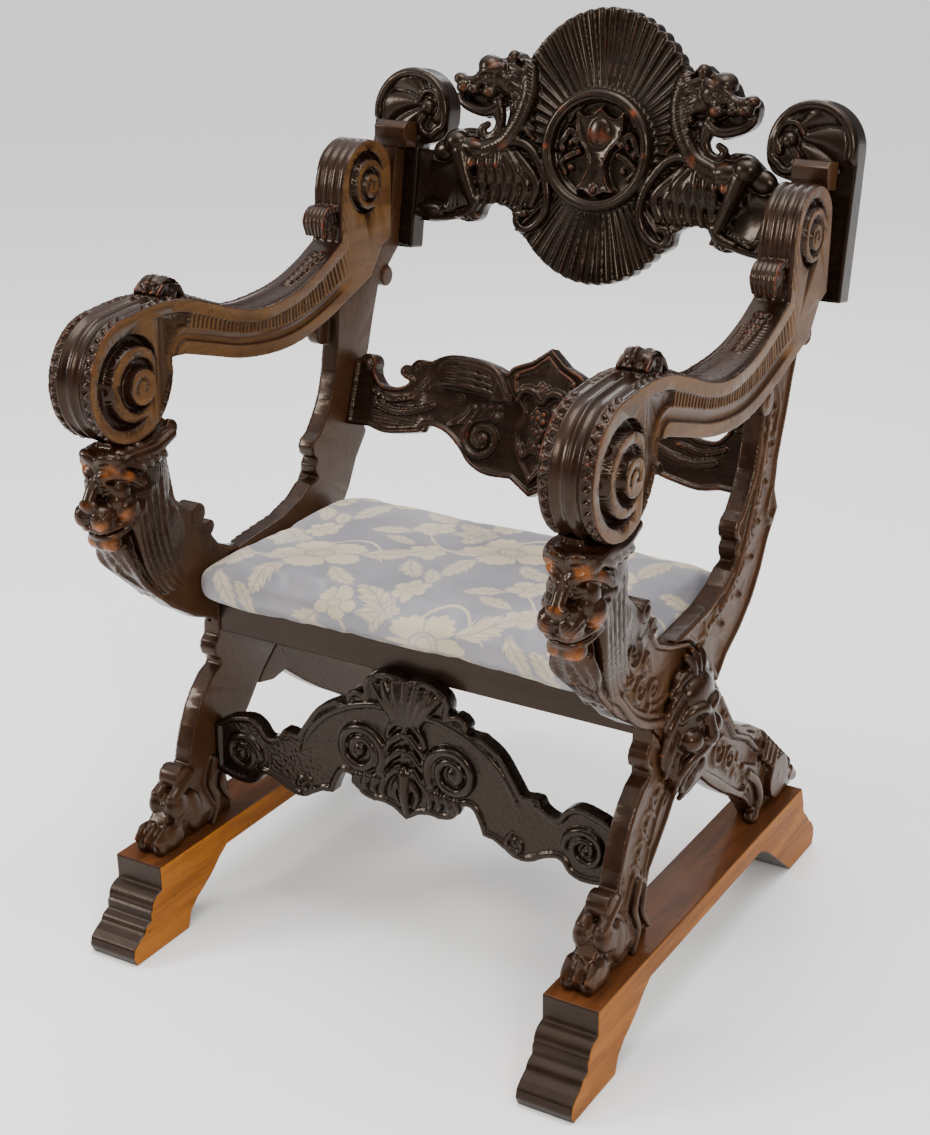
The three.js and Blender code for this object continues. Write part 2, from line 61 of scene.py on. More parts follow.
def node(tree, kind, links=None, **settings):
    """Adds a shader node, sets its sockets and properties, and links sources into its inputs."""
    made = tree.nodes.new(kind)
    for name, value in settings.items():
        if hasattr(made, name):
            setattr(made, name, value)
    for key, source in (links or {}).items():
        socket = made.inputs[key]
        if isinstance(source, bpy.types.NodeSocket):
            tree.links.new(source, socket)
        else:
            socket.default_value = source
    return made


def new_material(name):
    material = bpy.data.materials.new(name)
    material.use_nodes = True
    tree = material.node_tree
    tree.nodes.clear()
    return material, tree


def maths(tree, operation, a, b=0.0, c=0.0):
    return node(tree, "ShaderNodeMath", {0: a, 1: b, 2: c}, operation=operation).outputs[0]


def blend_colour(tree, share, low, high, blend="MIX"):
    mix = node(tree, "ShaderNodeMix", {0: share, 6: low, 7: high}, data_type="RGBA", blend_type=blend)
    return mix.outputs[2]


def ramp(tree, value, low, high):
    """Turns value from low..high into a smooth 0..1."""
    made = node(tree, "ShaderNodeMapRange", {0: value, 1: low, 2: high},
                interpolation_type="SMOOTHSTEP")
    return made.outputs[0]


def cloudy(tree, space, scale, detail, rough=0.5, warp=0.0):
    """Noise over a space; its outputs are a value and a colour."""
    return node(tree, "ShaderNodeTexNoise", {
        "Vector": space, "Scale": scale, "Detail": detail, "Roughness": rough, "Distortion": warp}).outputs


def vertex_value(tree, name):
    return node(tree, "ShaderNodeAttribute", attribute_name=name).outputs["Fac"]


def waxed_wood(name, body, streak, rubbed, hollow, along, gloss=0.3, rub_and_sheen_tone=None, shine=0.26):
    """Waxed walnut: painted shade darkens the hollows, and it is redder where hands and dusters rub;
    a given pair of tones lightens the marked faces: painted sheen, and on the runner tops rubbed brown.
    `along` stretches the grain along one axis; a satin coat of wax gives the soft highlights."""
    material, tree = new_material(name)
    place = node(tree, "ShaderNodeTexCoord").outputs["Object"]
    stretch = [14.0, 14.0, 14.0]
    stretch[along] = 1.6
    grain_space = node(tree, "ShaderNodeMapping", {0: place, 3: stretch}).outputs[0]
    figure = cloudy(tree, grain_space, 3.0, 5.0, 0.6, 0.6)[0]
    pore_stretch = [900.0, 900.0, 900.0]
    pore_stretch[along] = 60.0
    pore_space = node(tree, "ShaderNodeMapping", {0: place, 3: pore_stretch}).outputs[0]
    pores = cloudy(tree, pore_space, 1.0, 2.0)[0]
    patches = cloudy(tree, place, 22.0, 4.0, 0.6)[0]
    tool_marks = cloudy(tree, place, 130.0, 2.0)[0]
    dents = cloudy(tree, place, 75.0, 3.0, 0.7)[0]
    worn, deep, tone = (vertex_value(tree, name) for name in ("wear", "hollow", "rub_and_sheen"))

    colour = blend_colour(tree, ramp(tree, figure, 0.35, 0.68), linear(body), linear(streak))
    # painted sheen: a lighter grey-brown over the body colour on marked flat faces (rubbed brown on runner
    # tops)
    if rub_and_sheen_tone:
        grey = blend_colour(tree, ramp(tree, figure, 0.3, 0.7), linear(rub_and_sheen_tone[0]), linear(rub_and_sheen_tone[1]))
        colour = blend_colour(tree, tone, colour, grey)
    patchy = ramp(tree, patches, 0.40, 0.66)
    broken = maths(tree, "ADD", maths(tree, "MULTIPLY_ADD", tool_marks, 0.9, -0.45), worn)
    rub = maths(tree, "MULTIPLY", ramp(tree, broken, 0.25, 0.95),
                maths(tree, "MULTIPLY_ADD", patchy, 0.8, 0.2))
    colour = blend_colour(tree, rub, colour, linear(rubbed))
    # painted shade: hollows darken towards the hollow colour; the pores and dents below are the wood's own
    colour = blend_colour(tree, ramp(tree, deep, 0.15, 0.9), colour, linear(hollow))
    colour = blend_colour(tree, maths(tree, "MULTIPLY", ramp(tree, pores, 0.58, 0.72), 0.35), colour,
                          linear(hollow))
    colour = blend_colour(tree, maths(tree, "MULTIPLY", ramp(tree, dents, 0.62, 0.74), 0.6), colour,
                          linear(hollow))

    rough = maths(tree, "MULTIPLY_ADD", patches, 0.22, gloss - 0.08)
    rough = maths(tree, "MULTIPLY_ADD", ramp(tree, deep, 0.2, 1.0), 0.25, rough)
    rough = maths(tree, "MULTIPLY_ADD", tone, 0.12, rough)
    height = maths(tree, "MULTIPLY_ADD", pores, 0.25, tool_marks)
    bump = node(tree, "ShaderNodeBump", {0: 0.22, 1: 0.0012, "Height": height}).outputs[0]
    shader = node(tree, "ShaderNodeBsdfPrincipled", {
        "Base Color": colour, "Roughness": rough, "Normal": bump,
        "IOR": 1.5, "Specular IOR Level": maths(tree, "MULTIPLY_ADD", tone, -0.14, shine),
        "Specular Tint": linear("#ffe2c8"), "Coat Weight": 0.08, "Coat Roughness": 0.1, "Coat IOR": 1.45})
    node(tree, "ShaderNodeOutputMaterial", {0: shader.outputs[0]})
    return material


def spread(values, edges, rounds):
    """Averages a value over each vertex's neighbours, a few times."""
    count = np.bincount(edges.ravel(), minlength=len(values))
    for _ in range(rounds):
        total = (np.bincount(edges[:, 0], values[edges[:, 1]], len(values))
                 + np.bincount(edges[:, 1], values[edges[:, 0]], len(values)))
        values = 0.5 * values + 0.5 * total / np.maximum(count, 1)
    return values


def read(mesh, what, size=3, items=None):
    items = mesh.vertices if items is None else items
    values = np.empty(len(items) * size, np.float64 if size == 3 else np.int64)
    items.foreach_get(what, values)
    return values.reshape(-1, size)


def show_wear(piece, reach=3.5, rub_and_sheen=None, rubbed=()):
    """Stores how far each point stands out of its surroundings, or lies in a hollow, and the
    places, each a centre and a radius in metres, that hands and dusters have rubbed."""
    mesh = piece.data
    co, normal = read(mesh, "co"), read(mesh, "normal")
    edges = read(mesh, "vertices", 2, mesh.edges)
    count = np.maximum(np.bincount(edges.ravel(), minlength=len(co)), 1)
    average = np.stack([np.bincount(edges[:, 0], co[edges[:, 1], i], len(co))
                        + np.bincount(edges[:, 1], co[edges[:, 0], i], len(co))
                        for i in range(3)], 1) / count[:, None]
    length = np.linalg.norm(co[edges[:, 0]] - co[edges[:, 1]], axis=1)
    size = (np.bincount(edges[:, 0], length, len(co)) + np.bincount(edges[:, 1], length, len(co))) / count
    bend = ((co - average) * normal).sum(1) / np.maximum(size, 1e-6) ** 2
    bend = spread(bend, edges, 5) * reach * 1e-3
    rub = np.zeros(len(co))
    for centre, radius in rubbed:
        rub = np.maximum(rub, 1 - np.linalg.norm(co - centre, axis=1) / radius)
    # how deep a point lies in a hollow later darkens the wood as painted shade; the third value marks faces
    # for a painted sheen
    for name, values in (("wear", np.maximum(bend, 1.05 * rub)), ("hollow", -bend),
                         ("rub_and_sheen", np.zeros(len(co)) if rub_and_sheen is None else rub_and_sheen(co, normal))):
        layer = mesh.attributes.new(name, "FLOAT", "POINT")
        layer.data.foreach_set("value", np.clip(values, 0, 1).astype(np.float32))


def new_piece(name, bm, transform=None, smooth=True):
    mesh = bpy.data.meshes.new(name)
    if transform is not None:
        bm.transform(transform)
    bm.to_mesh(mesh)
    bm.free()
    for face in mesh.polygons:
        face.use_smooth = smooth
    piece = bpy.data.objects.new(name, mesh)
    bpy.context.scene.collection.objects.link(piece)
    return piece


def settle(piece):
    """Applies the piece's modifiers to its mesh."""
    bpy.context.view_layer.update()
    shaped = piece.evaluated_get(bpy.context.evaluated_depsgraph_get())
    made = bpy.data.meshes.new_from_object(shaped)
    piece.modifiers.clear()
    old = piece.data
    piece.data = made
    bpy.data.meshes.remove(old)


def of_frame(piece, cad_node):
    """The piece stands for a CAD node: it moves with the frame and the CAD node is hidden."""
    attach(piece, "root")
    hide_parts(cad_node)


def other_side(piece, name, cad_node):
    """The mirror image of a right-hand piece, for the left of the chair."""
    mesh = piece.data.copy()
    mesh.transform(Matrix.Scale(-1, 4, (1, 0, 0)))
    mesh.flip_normals()
    left = bpy.data.objects.new(name, mesh)
    bpy.context.scene.collection.objects.link(left)
    of_frame(left, cad_node)


def cad_bmesh(cad_node):
    """A welded copy of a CAD node's mesh, with its flat faces whole."""
    bm = bmesh.new()
    bm.from_mesh(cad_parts[cad_node].data)
    bmesh.ops.remove_doubles(bm, verts=bm.verts, dist=1e-5)
    bmesh.ops.dissolve_limit(bm, angle_limit=math.radians(1), verts=bm.verts, edges=bm.edges)
    return bm


def runner_handled(co, normal):
    """Shoes have rubbed the flat tops of the runners back to brown."""
    return np.clip(3 * normal[:, 2] - 1.8, 0, 1) * (co[:, 2] > 0.09)


STAINED_TOP = waxed_wood("walnut_stained_waxed", "#1e110b", "#140b07", "#b8835a", "#0e0806", 1, 0.32,
                         ("#3f2210", "#5c3419"))
BARE_SIDE = waxed_wood("walnut_bare_satin", "#975b1a", "#74410f", "#cf9450", "#381b0a", 1, 0.5, None, 0.08)

for side in ("right", "left"):
    bm = cad_bmesh(f"runner_{side}")
    arris = [e for e in bm.edges if e.calc_face_angle(0) > math.radians(12)]
    bmesh.ops.bevel(bm, geom=arris, offset=0.0022, affect="EDGES", segments=2, profile=0.5, material=-1)
    for face in bm.faces:
        face.material_index = 1 if abs(face.normal.x) > 0.7 else 0
    bmesh.ops.triangulate(bm, faces=[f for f in bm.faces if len(f.verts) > 4])
    bmesh.ops.subdivide_edges(bm, edges=[e for e in bm.edges if e.calc_length() > 0.02], cuts=2)
    bmesh.ops.triangulate(bm, faces=bm.faces)
    runner = new_piece(f"sledge_runner_{side}", bm, smooth=False)
    runner.data.materials.append(STAINED_TOP)
    runner.data.materials.append(BARE_SIDE)
    show_wear(runner, rub_and_sheen=runner_handled)
    of_frame(runner, f"runner_{side}")

# ---- arms --------------------------------------------------------------------------------------
# Solid walnut arms, bandsawn to an S and rolled into a volute at each end, then carved: leaf-tip
# borders over the volutes, a gouged bead along the sides, a bud at each end of the hand rest.

MM = Matrix.Translation((0, SHIFT, 0)) @ Matrix.Scale(0.001, 4)


def curve(points, steps=6):
    """Points of a smooth Catmull-Rom curve through the given ones."""
    p = np.asarray(points, float)
    p = np.vstack([2 * p[0] - p[1], p, 2 * p[-1] - p[-2]])
    t = np.linspace(0, 1, steps, endpoint=False)[:, None]
    parts = [0.5 * (2 * b + (c - a) * t + (2 * a - 5 * b + 4 * c - d) * t ** 2
                    + (3 * b - a - 3 * c + d) * t ** 3)
             for a, b, c, d in zip(p, p[1:], p[2:], p[3:])]
    return np.vstack(parts + [p[-2:-1]])


def arc(centre, radius, start, end, steps):
    turn = np.radians(np.linspace(start, end, steps + 1))
    return np.stack([centre[0] + radius * np.cos(turn), centre[1] + radius * np.sin(turn)], 1)


def coil(centre, radius, inner, start, turns, steps=28):
    """A spiral from its outer end to its eye."""
    t = np.linspace(0, 1, steps)
    turn = math.radians(start) + t * turns * 2 * math.pi
    size = radius + (inner - radius) * t
    return np.stack([centre[0] + size * np.cos(turn), centre[1] + size * np.sin(turn)], 1)


def slab(bm, outline, near, far, upright=True):
    """A board cut to an outline. Upright boards are drawn in Y and Z, flat-drawn ones in X and Y."""
    lay = (lambda a, b: (near, a, b)) if upright else (lambda a, b: (a, b, near))
    face = bm.faces.new([bm.verts.new(lay(a, b)) for a, b in outline])
    extruded = bmesh.ops.extrude_face_region(bm, geom=[face])["geom"]
    step = (far - near, 0, 0) if upright else (0, 0, far - near)
    bmesh.ops.translate(bm, vec=step, verts=[v for v in extruded if isinstance(v, bmesh.types.BMVert)])


def unit_ball(fine):
    made = bmesh.new()
    bmesh.ops.create_icosphere(made, subdivisions=fine, radius=1)
    made.verts.index_update()
    shape = [v.co.copy() for v in made.verts], [[v.index for v in face.verts] for face in made.faces]
    made.free()
    return shape


BALLS = {fine: unit_ball(fine) for fine in (2, 3)}


def ball(bm, centre, half, turn=(0, 0, 0), fine=3):
    """A rounded lump, turned about X, Y and Z in degrees."""
    half = (half,) * 3 if isinstance(half, (int, float)) else half
    spin = Matrix.Identity(4)
    for axis, angle in zip("XYZ", turn):
        spin = Matrix.Rotation(math.radians(angle), 4, axis) @ spin
    place = Matrix.Translation(centre) @ spin @ Matrix.Diagonal((*half, 1))
    points, faces = BALLS[fine]
    made = [bm.verts.new(place @ point) for point in points]
    for face in faces:
        bm.faces.new([made[i] for i in face])


def strand(bm, points, thick, thin=None, squeeze=(1, 1, 1)):
    """A tapering rounded strand along a curve: a lock of hair, a stem or the edge of a leaf."""
    path = curve(points, 10)
    gaps = np.linalg.norm(np.diff(path, axis=0), axis=1)
    along = np.concatenate([[0], np.cumsum(gaps)])
    thin = thick if thin is None else thin
    count = max(3, int(along[-1] / (0.45 * min(thick, max(thin, 2.0)))))
    for s in np.linspace(0, 1, count):
        spot = [np.interp(s * along[-1], along, path[:, i]) for i in range(3)]
        size = thick + (thin - thick) * s
        ball(bm, spot, tuple(size * k for k in squeeze), fine=2)


def placed(bm, origin=(0, 0, 0), mirror=(1, 1, 1)):
    """Ball and strand tools that measure from an origin, on either side of it."""
    def put(point):
        return tuple(o + m * p for o, m, p in zip(origin, mirror, point))

    def ball_at(centre, *form):
        ball(bm, put(centre), *form)

    def strand_at(points, *form):
        strand(bm, [put(point) for point in points], *form)

    return ball_at, strand_at


def disc(bm, centre, radius, near, far):
    """A round boss between two planes across X."""
    place = Matrix.Translation(((near + far) / 2, *centre)) @ Matrix.Rotation(math.pi / 2, 4, "Y")
    bmesh.ops.create_cone(bm, cap_ends=True, segments=48, radius1=radius, radius2=radius,
                          depth=far - near, matrix=place)


def fuse(name, bm, grit, soften=1):
    """Melts overlapping lumps into one closed skin, as fine as `grit` in the units of the lumps."""
    bmesh.ops.recalc_face_normals(bm, faces=bm.faces)
    piece = new_piece(name, bm)
    skin = piece.modifiers.new("skin", "REMESH")
    skin.mode = "VOXEL"
    skin.voxel_size = grit
    skin.use_smooth_shade = True
    smooth = piece.modifiers.new("soften", "SMOOTH")
    smooth.factor = 0.5
    smooth.iterations = soften
    settle(piece)
    return piece


def carved(name, shape, relief, grit, soften=1):
    """Fuses a shape into a skin and moves each point of it by its relief, both in millimetres."""
    bm = bmesh.new()
    shape(bm)
    piece = fuse(name, bm, grit, soften)
    mesh = piece.data
    co, normal = read(mesh, "co"), read(mesh, "normal")
    mesh.vertices.foreach_set("co", (co + relief(co, normal)).astype(np.float32).ravel())
    mesh.update()
    return piece


def thin_out(piece, triangles, material):
    """Thins a skin to a number of triangles, shades it smoothly and gives it its material."""
    now = sum(len(face.vertices) - 2 for face in piece.data.polygons)
    thin = piece.modifiers.new("thin", "DECIMATE")
    thin.ratio = min(1.0, triangles / now)
    settle(piece)
    for face in piece.data.polygons:
        face.use_smooth = True
    piece.data.materials.clear()
    piece.data.materials.append(material)


def finish_skin(piece, place, material, triangles, rub_and_sheen=None, reach=3.5, rubbed=()):
    """Thins the skin, puts it in its place in the frame and gives it its wood and its wear."""
    thin_out(piece, triangles, material)
    piece.data.transform(place)
    show_wear(piece, reach, rub_and_sheen,
              [(np.array(place @ Vector(spot[:3])), spot[3] * 1e-3) for spot in rubbed])


def ease(value, low, high):
    t = np.clip((value - low) / (high - low), 0, 1)
    return t * t * (3 - 2 * t)


def nearest(at, path):
    """Distance from each point to a drawn path, and how far along the path that is."""
    path = np.asarray(path, float)
    gap, along, run = np.full(len(at), 1e9), np.zeros(len(at)), 0.0
    for a, b in zip(path, path[1:]):
        step = b - a
        length = math.hypot(*step) or 1e-9
        t = np.clip((at - a) @ step / length ** 2, 0, 1)
        away = np.hypot(*(at - a - t[:, None] * step).T)
        closer = away < gap
        gap = np.where(closer, away, gap)
        along = np.where(closer, run + t * length, along)
        run += length
    return gap, along, run


def drawn(height, at, path, width, tall, taper=0.0):
    """Adds a rounded ridge (or, with a negative height, a gouge) along a drawn path."""
    path = np.asarray(path, float)
    low, high = path.min(0) - width, path.max(0) + width
    inside = np.flatnonzero(((at > low) & (at < high)).all(1))
    if not len(inside):
        return
    gap, along, run = nearest(at[inside], path)
    size = width * (1 - taper * along / run)
    shape = np.sqrt(np.clip(1 - (gap / np.maximum(size, 0.1)) ** 2, 0, 1))
    if tall > 0:
        height[inside] = np.maximum(height[inside], tall * shape * (size / width))
    else:
        height[inside] += tall * shape ** 1.5


ARM = {"inner": 275.0, "outer": 335.0, "middle": 305.0}
FRONT_VOLUTE = (-297.0, 722.0)
REAR_VOLUTE = (200.0, 868.0)
arm_under = curve([(-200, 730), (-150, 716), (-100, 702), (-50, 694), (0, 691), (50, 694), (100, 705),
                   (150, 722), (205, 742)], 4)
arm_rear = curve([(255, 868), (250, 893), (226, 914), (192, 920), (158, 903), (142, 868), (139, 830)], 5)
arm_over = curve([(136, 798), (100, 780), (50, 762), (0, 754), (-50, 753), (-100, 763), (-150, 780),
                  (-200, 795), (-240, 799), (-270, 798)], 4)
arm_edge = np.vstack([arc(FRONT_VOLUTE, 73, 92, 368, 48), arm_under, [(232, 778), (255, 786)],
                      arm_rear, arm_over])


def narrowing(y):
    """The arm's width as a share of its front width: slimmer towards the back post."""
    return 1 - 0.24 * ease(y, -60, 110)


def round_step(at, centre, radius, soft=1.2):
    """One inside a circle, nought outside it."""
    return 1 - ease(np.hypot(at[:, 0] - centre[0], at[:, 1] - centre[1]), radius - soft / 2,
                    radius + soft / 2)


def volute_side(at, eye, size):
    """A flat band that winds inwards: deep crescent sinkings leave a disc, then a button with a comma."""
    y, z = eye
    sunk = (round_step(at, (y - 5 * size, z - 2 * size), 54 * size)
            - round_step(at, (y + 7 * size, z - 7 * size), 44 * size))
    inner = (round_step(at, (y + 9 * size, z - 8 * size), 31 * size)
             - round_step(at, (y + 14 * size, z - 11 * size), 21.5 * size))
    height = -13.0 * size * np.clip(sunk, 0, 1) - 9.0 * size * np.clip(inner, 0, 1)
    drawn(height, at, coil((y + 15 * size, z - 11 * size), 13 * size, 4 * size, 200, -0.75), 2.4, -3.4, 0.4)
    return height


def leaf_tips(along, across, pitch, deep):
    """A row of pointed leaf tips: across runs from 0 at the rim to 1 at the points."""
    phase = np.abs((along / pitch) % 1 - 0.5)
    width = 0.47 * np.sqrt(np.clip(1 - across, 0, 1))
    return deep * np.sqrt(np.clip(1 - (phase / np.maximum(width, 1e-3)) ** 2, 0, 1))


def arm_relief(co, normal):
    x, at = co[:, 0] - ARM["middle"], co[:, 1:]
    y = at[:, 0]
    wide = np.abs(x)
    on_side = ease(np.abs(normal[:, 0]), 0.6, 0.9)
    over, _, _ = nearest(at, arm_over)
    under, run, _ = nearest(at, arm_under)
    in_band = (ease(y, -262, -240) * (1 - ease(y, 120, 165)) * ease(over, 15, 17)
               * ease(under, 14, 17))
    gouges = -5.4 + 4.8 * np.abs(np.sin(np.pi * run / 8.4)) ** 0.5
    hollow = np.where(under < 31, -1.0 - 3.6 * np.sin(np.pi * np.clip((under - 15) / 16, 0, 1)),
                      gouges - 0.6)
    side = in_band * hollow
    side += volute_side(at, FRONT_VOLUTE, 1.0) + volute_side(at, REAR_VOLUTE, 0.74)

    edge, along, _ = nearest(at, arm_edge)
    front = (1 - ease(y, -225, -205)) * ease(np.hypot(at[:, 0] + 297, at[:, 1] - 722), 60, 66)
    mould = np.interp(wide, [0, 1.3, 2.2, 3.5, 9, 14.5, 16.5, 17.8, 19, 26.5, 27.5, 30],
                      [1.0, 0.9, -1.2, -2.6, -4.4, -1.6, 0.6, 0.5, -3.0, -2.6, -0.2, 0])
    tips = np.where(wide > 18.5, leaf_tips(along, np.clip((27 - wide) / 8, 0, 1), 13.5, 4.2), 0)
    tips *= 1 - ease(wide, 25.8, 27.0)
    face = front * (mould + tips)
    rest = ease(y, -215, -190) * (1 - ease(y, 80, 115)) * (normal[:, 2] > 0.2)
    face += rest * (-1.2 * ease(wide, 3, 14) * (1 - ease(wide, 20, 23))
                    + 0.5 * np.cos(along * 1.1) * (wide < 19))
    back = ease(y, 125, 135) * (1 - ease(y, 200, 215)) * ease(at[:, 1], 790, 815) * (normal[:, 1] < 0.35)
    face += back * (-2.6 + 3.4 * np.abs(np.sin(np.pi * wide / 15.5)) ** 0.7)
    sign = np.sign(normal[:, 0])
    push = normal * (face * (1 - on_side))[:, None]
    push[:, 0] += side * on_side * sign
    push[:, 0] += x * (narrowing(y) - 1)
    return push


def arm_shape(bm):
    slab(bm, arm_edge[::-1], ARM["inner"], ARM["outer"])
    middle = ARM["middle"]
    for face in (ARM["inner"], ARM["outer"]):
        disc(bm, (FRONT_VOLUTE[0] + 14, FRONT_VOLUTE[1] - 11), 21, face - 4, face + 4)
    ball(bm, (middle, -214, 806), (17, 15, 15))
    ball(bm, (middle, -204, 800), (20, 17, 11))
    ball(bm, (middle, -218, 812), (15, 12, 11))
    for across in (-14, -7, 7, 14):
        strand(bm, [(middle + across, -228, 804), (middle + 0.95 * across, -212, 818 - 0.2 * abs(across)),
                    (middle + across, -196, 811), (middle + 1.1 * across, -186, 796)], 5.0, 4.2)
    for k in range(7):
        y = -178 + 12 * k
        surface = np.interp(y, arm_over[::-1, 0], arm_over[::-1, 1])
        for across in (-1, 1):
            ball(bm, (middle + across * (8 - k), y, surface + 0.5), (7.6 - 0.6 * k, 9, 5.5 - 0.4 * k),
                 (-18, 0, across * 18), 2)
    for across in (-1, 1):
        ball(bm, (middle + 10 * across, 124, 828), (11.5, 15, 15), (20, 0, 0))
        for k in range(3):
            turned_out = across * (3.5 + 6.5 * k)
            strand(bm, [(middle + turned_out, 136, 840), (middle + 1.1 * turned_out, 118, 841),
                        (middle + 1.15 * turned_out, 107, 829), (middle + turned_out, 110, 812)], 4.6, 3.8)
    for k in range(7):
        y = 108 - 11 * k
        surface = np.interp(y, arm_over[::-1, 0], arm_over[::-1, 1])
        for across in (-1, 0, 1):
            ball(bm, (middle + across * (8 - 0.6 * k), y + 3 * abs(across), surface + 1.5),
                 (5.6 - 0.35 * k, 6.5, 5.2 - 0.4 * k), (30, 0, 0), 2)
    ball(bm, (middle, -226, 716), (24, 9, 11))


def arm_side_sheen(co, normal):
    """Painted sheen: the flat sides get a lighter satin grey-brown in place of the light they reflect."""
    flat = ease(np.abs(normal[:, 0]), 0.75, 0.95)
    reach = 0.030 * narrowing((co[:, 1] - SHIFT) * 1000)
    return flat * ease(np.abs(np.abs(co[:, 0]) - 0.305) / reach, 0.74, 0.92)


ARM_WOOD = waxed_wood("walnut_arm_waxed", "#25140c", "#180d08", "#7d3a1a", "#0b0604", 1, 0.24,
                      ("#4d331f", "#644628"))
arm = carved("carved_arm_right", arm_shape, arm_relief, grit=1.45)
finish_skin(arm, MM, ARM_WOOD, triangles=84000, rub_and_sheen=arm_side_sheen, reach=5.0)
of_frame(arm, "arm_right")
other_side(arm, "carved_arm_left", "arm_left")

# ---- side frames ---------------------------------------------------------------------------------
# Each side is two curved walnut boards halved into each other: one climbs from a lion's paw at the
# front to the back post, the other from the arm's lion head down to a leafy back foot.
# Inside faces are planed and plain; outside faces carry ribbons, flowers and scrolls in low relief.

FRAME_X = 296.0
FACE = 307.5


def cad_lumps(bm, cad_node):
    """Starts a carving from the CAD node's own shape, in millimetres."""
    bm.from_mesh(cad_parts[cad_node].data)
    bmesh.ops.remove_doubles(bm, verts=bm.verts, dist=1e-5)
    bm.transform(MM.inverted())


def flower(height, at, centre, size, petals, turn=0.0, tall=3.2):
    for k in range(petals):
        angle = math.radians(turn + 360 * k / petals)
        tip = (centre[0] + size * math.cos(angle), centre[1] + size * math.sin(angle))
        base = (centre[0] + 0.35 * size * math.cos(angle), centre[1] + 0.35 * size * math.sin(angle))
        drawn(height, at, [base, tip], 0.36 * size, tall, 0.35)
    drawn(height, at, [centre, (centre[0] + 0.5, centre[1])], 0.26 * size, tall + 1.4)


def leaf(height, at, points, width, tall=3.0, lobes=6):
    """An acanthus spray: a spine with lobes that sweep forward from it on both sides."""
    spine = curve(points, 10)
    for k in range(lobes):
        i = int((k + 0.4) / lobes * (len(spine) - 2))
        step = spine[i + 1] - spine[i]
        step /= np.hypot(*step)
        size = width * (1 - 0.55 * k / lobes)
        for way in (-1, 1):
            out = step * 0.75 + way * np.array([-step[1], step[0]])
            drawn(height, at, [spine[i], spine[i] + size * out * 0.75], 0.24 * width, tall, 0.45)
    drawn(height, at, spine, 0.16 * width, tall + 0.8, 0.6)


def ribbon(height, at, points, width, tall, eye):
    """A flat-topped band along a drawn curve, ending in a small curl."""
    path = curve(points, 8)
    gap, _, _ = nearest(at, path)
    band = tall * (1 - ease(gap, width / 2 - 0.8, width / 2 + 0.8))
    height[:] = np.maximum(height, band)
    drawn(height, at, arc(path[-1], eye * 0.45, 0, 330, 14), eye * 0.5, tall + 0.8)


def edge_gap(at, is_edge):
    """How far each point of a face lies from the face's edge."""
    rim = at[is_edge][::3]
    tree = kdtree.KDTree(len(rim))
    for i, (a, b) in enumerate(rim):
        tree.insert((a, b, 0), i)
    tree.balance()
    return np.array([tree.find((a, b, 0))[2] for a, b in at])


def face_relief(co, normal, draw):
    """Relief on the outside face of a side board: the ground is sunk and what is drawn stands on it."""
    at = co[:, 1:]
    outside = (normal[:, 0] > 0.75) & (np.abs(co[:, 0] - FACE) < 3.5)
    height = np.zeros(len(co))
    chosen = np.flatnonzero(outside)
    sides = (np.abs(normal[:, 0]) < 0.5) & (np.abs(co[:, 0] - FACE) < 9)
    gap = edge_gap(np.vstack([at[chosen], at[sides]]),
                   np.arange(len(chosen) + sides.sum()) >= len(chosen))[:len(chosen)]
    ground = np.zeros(len(chosen))
    draw(ground, at[chosen])
    border = 3.6 * (1 - ease(gap, 6.4, 8.4)) * ease(gap, 0.2, 2.0)
    height[chosen] = np.maximum(ground, border) - 1.6
    push = np.zeros_like(co)
    push[:, 0] = height
    return push


def upright_drawing(height, at):
    ribbon(height, at, [(62, 497), (20, 479), (-40, 466), (-100, 466), (-138, 480)], 12, 4.2, 9)
    ribbon(height, at, [(126, 566), (138, 612), (148, 660), (140, 690), (118, 684)], 6, 3.6, 13)
    for spot, size, turn in (((150, 648), 13, 20), ((145, 602), 15, 0), ((128, 555), 13, 40),
                             ((106, 512), 16, 10), ((66, 470), 15, 0), ((-8, 436), 15, 30)):
        flower(height, at, spot, size, 5, turn)
    leaf(height, at, [(128, 575), (140, 590), (150, 628)], 11, 2.8, 4)
    leaf(height, at, [(118, 528), (128, 548), (146, 580)], 13, 2.8, 5)
    leaf(height, at, [(80, 480), (98, 494), (120, 530)], 14, 2.8, 5)
    leaf(height, at, [(10, 446), (36, 452), (60, 462)], 13, 2.8, 5)
    for y, z in ((163, 664), (164, 618), (150, 575), (134, 530), (120, 490), (88, 452), (40, 432)):
        drawn(height, at, [(y, z), (y + 0.5, z)], 4, 4.6)
    ribbon(height, at, [(160, 700), (176, 668), (166, 632)], 5, 3.4, 7)
    ribbon(height, at, [(168, 560), (158, 536), (168, 522)], 5, 3.4, 7)
    for spot, size, turn in (((-112, 290), 12, 0), ((-137, 268), 14, 20), ((-158, 242), 13, 40),
                             ((-173, 214), 12, 10)):
        flower(height, at, spot, size, 5, turn)
    for y, z in ((-126, 284), (-150, 256), (-168, 228), (-104, 262), (-140, 226), (-160, 196)):
        drawn(height, at, [(y, z), (y + 0.5, z)], 4.5, 3.8)
    ribbon(height, at, [(-104, 274), (-124, 250), (-142, 214), (-156, 180)], 4.5, 3.0, 6)


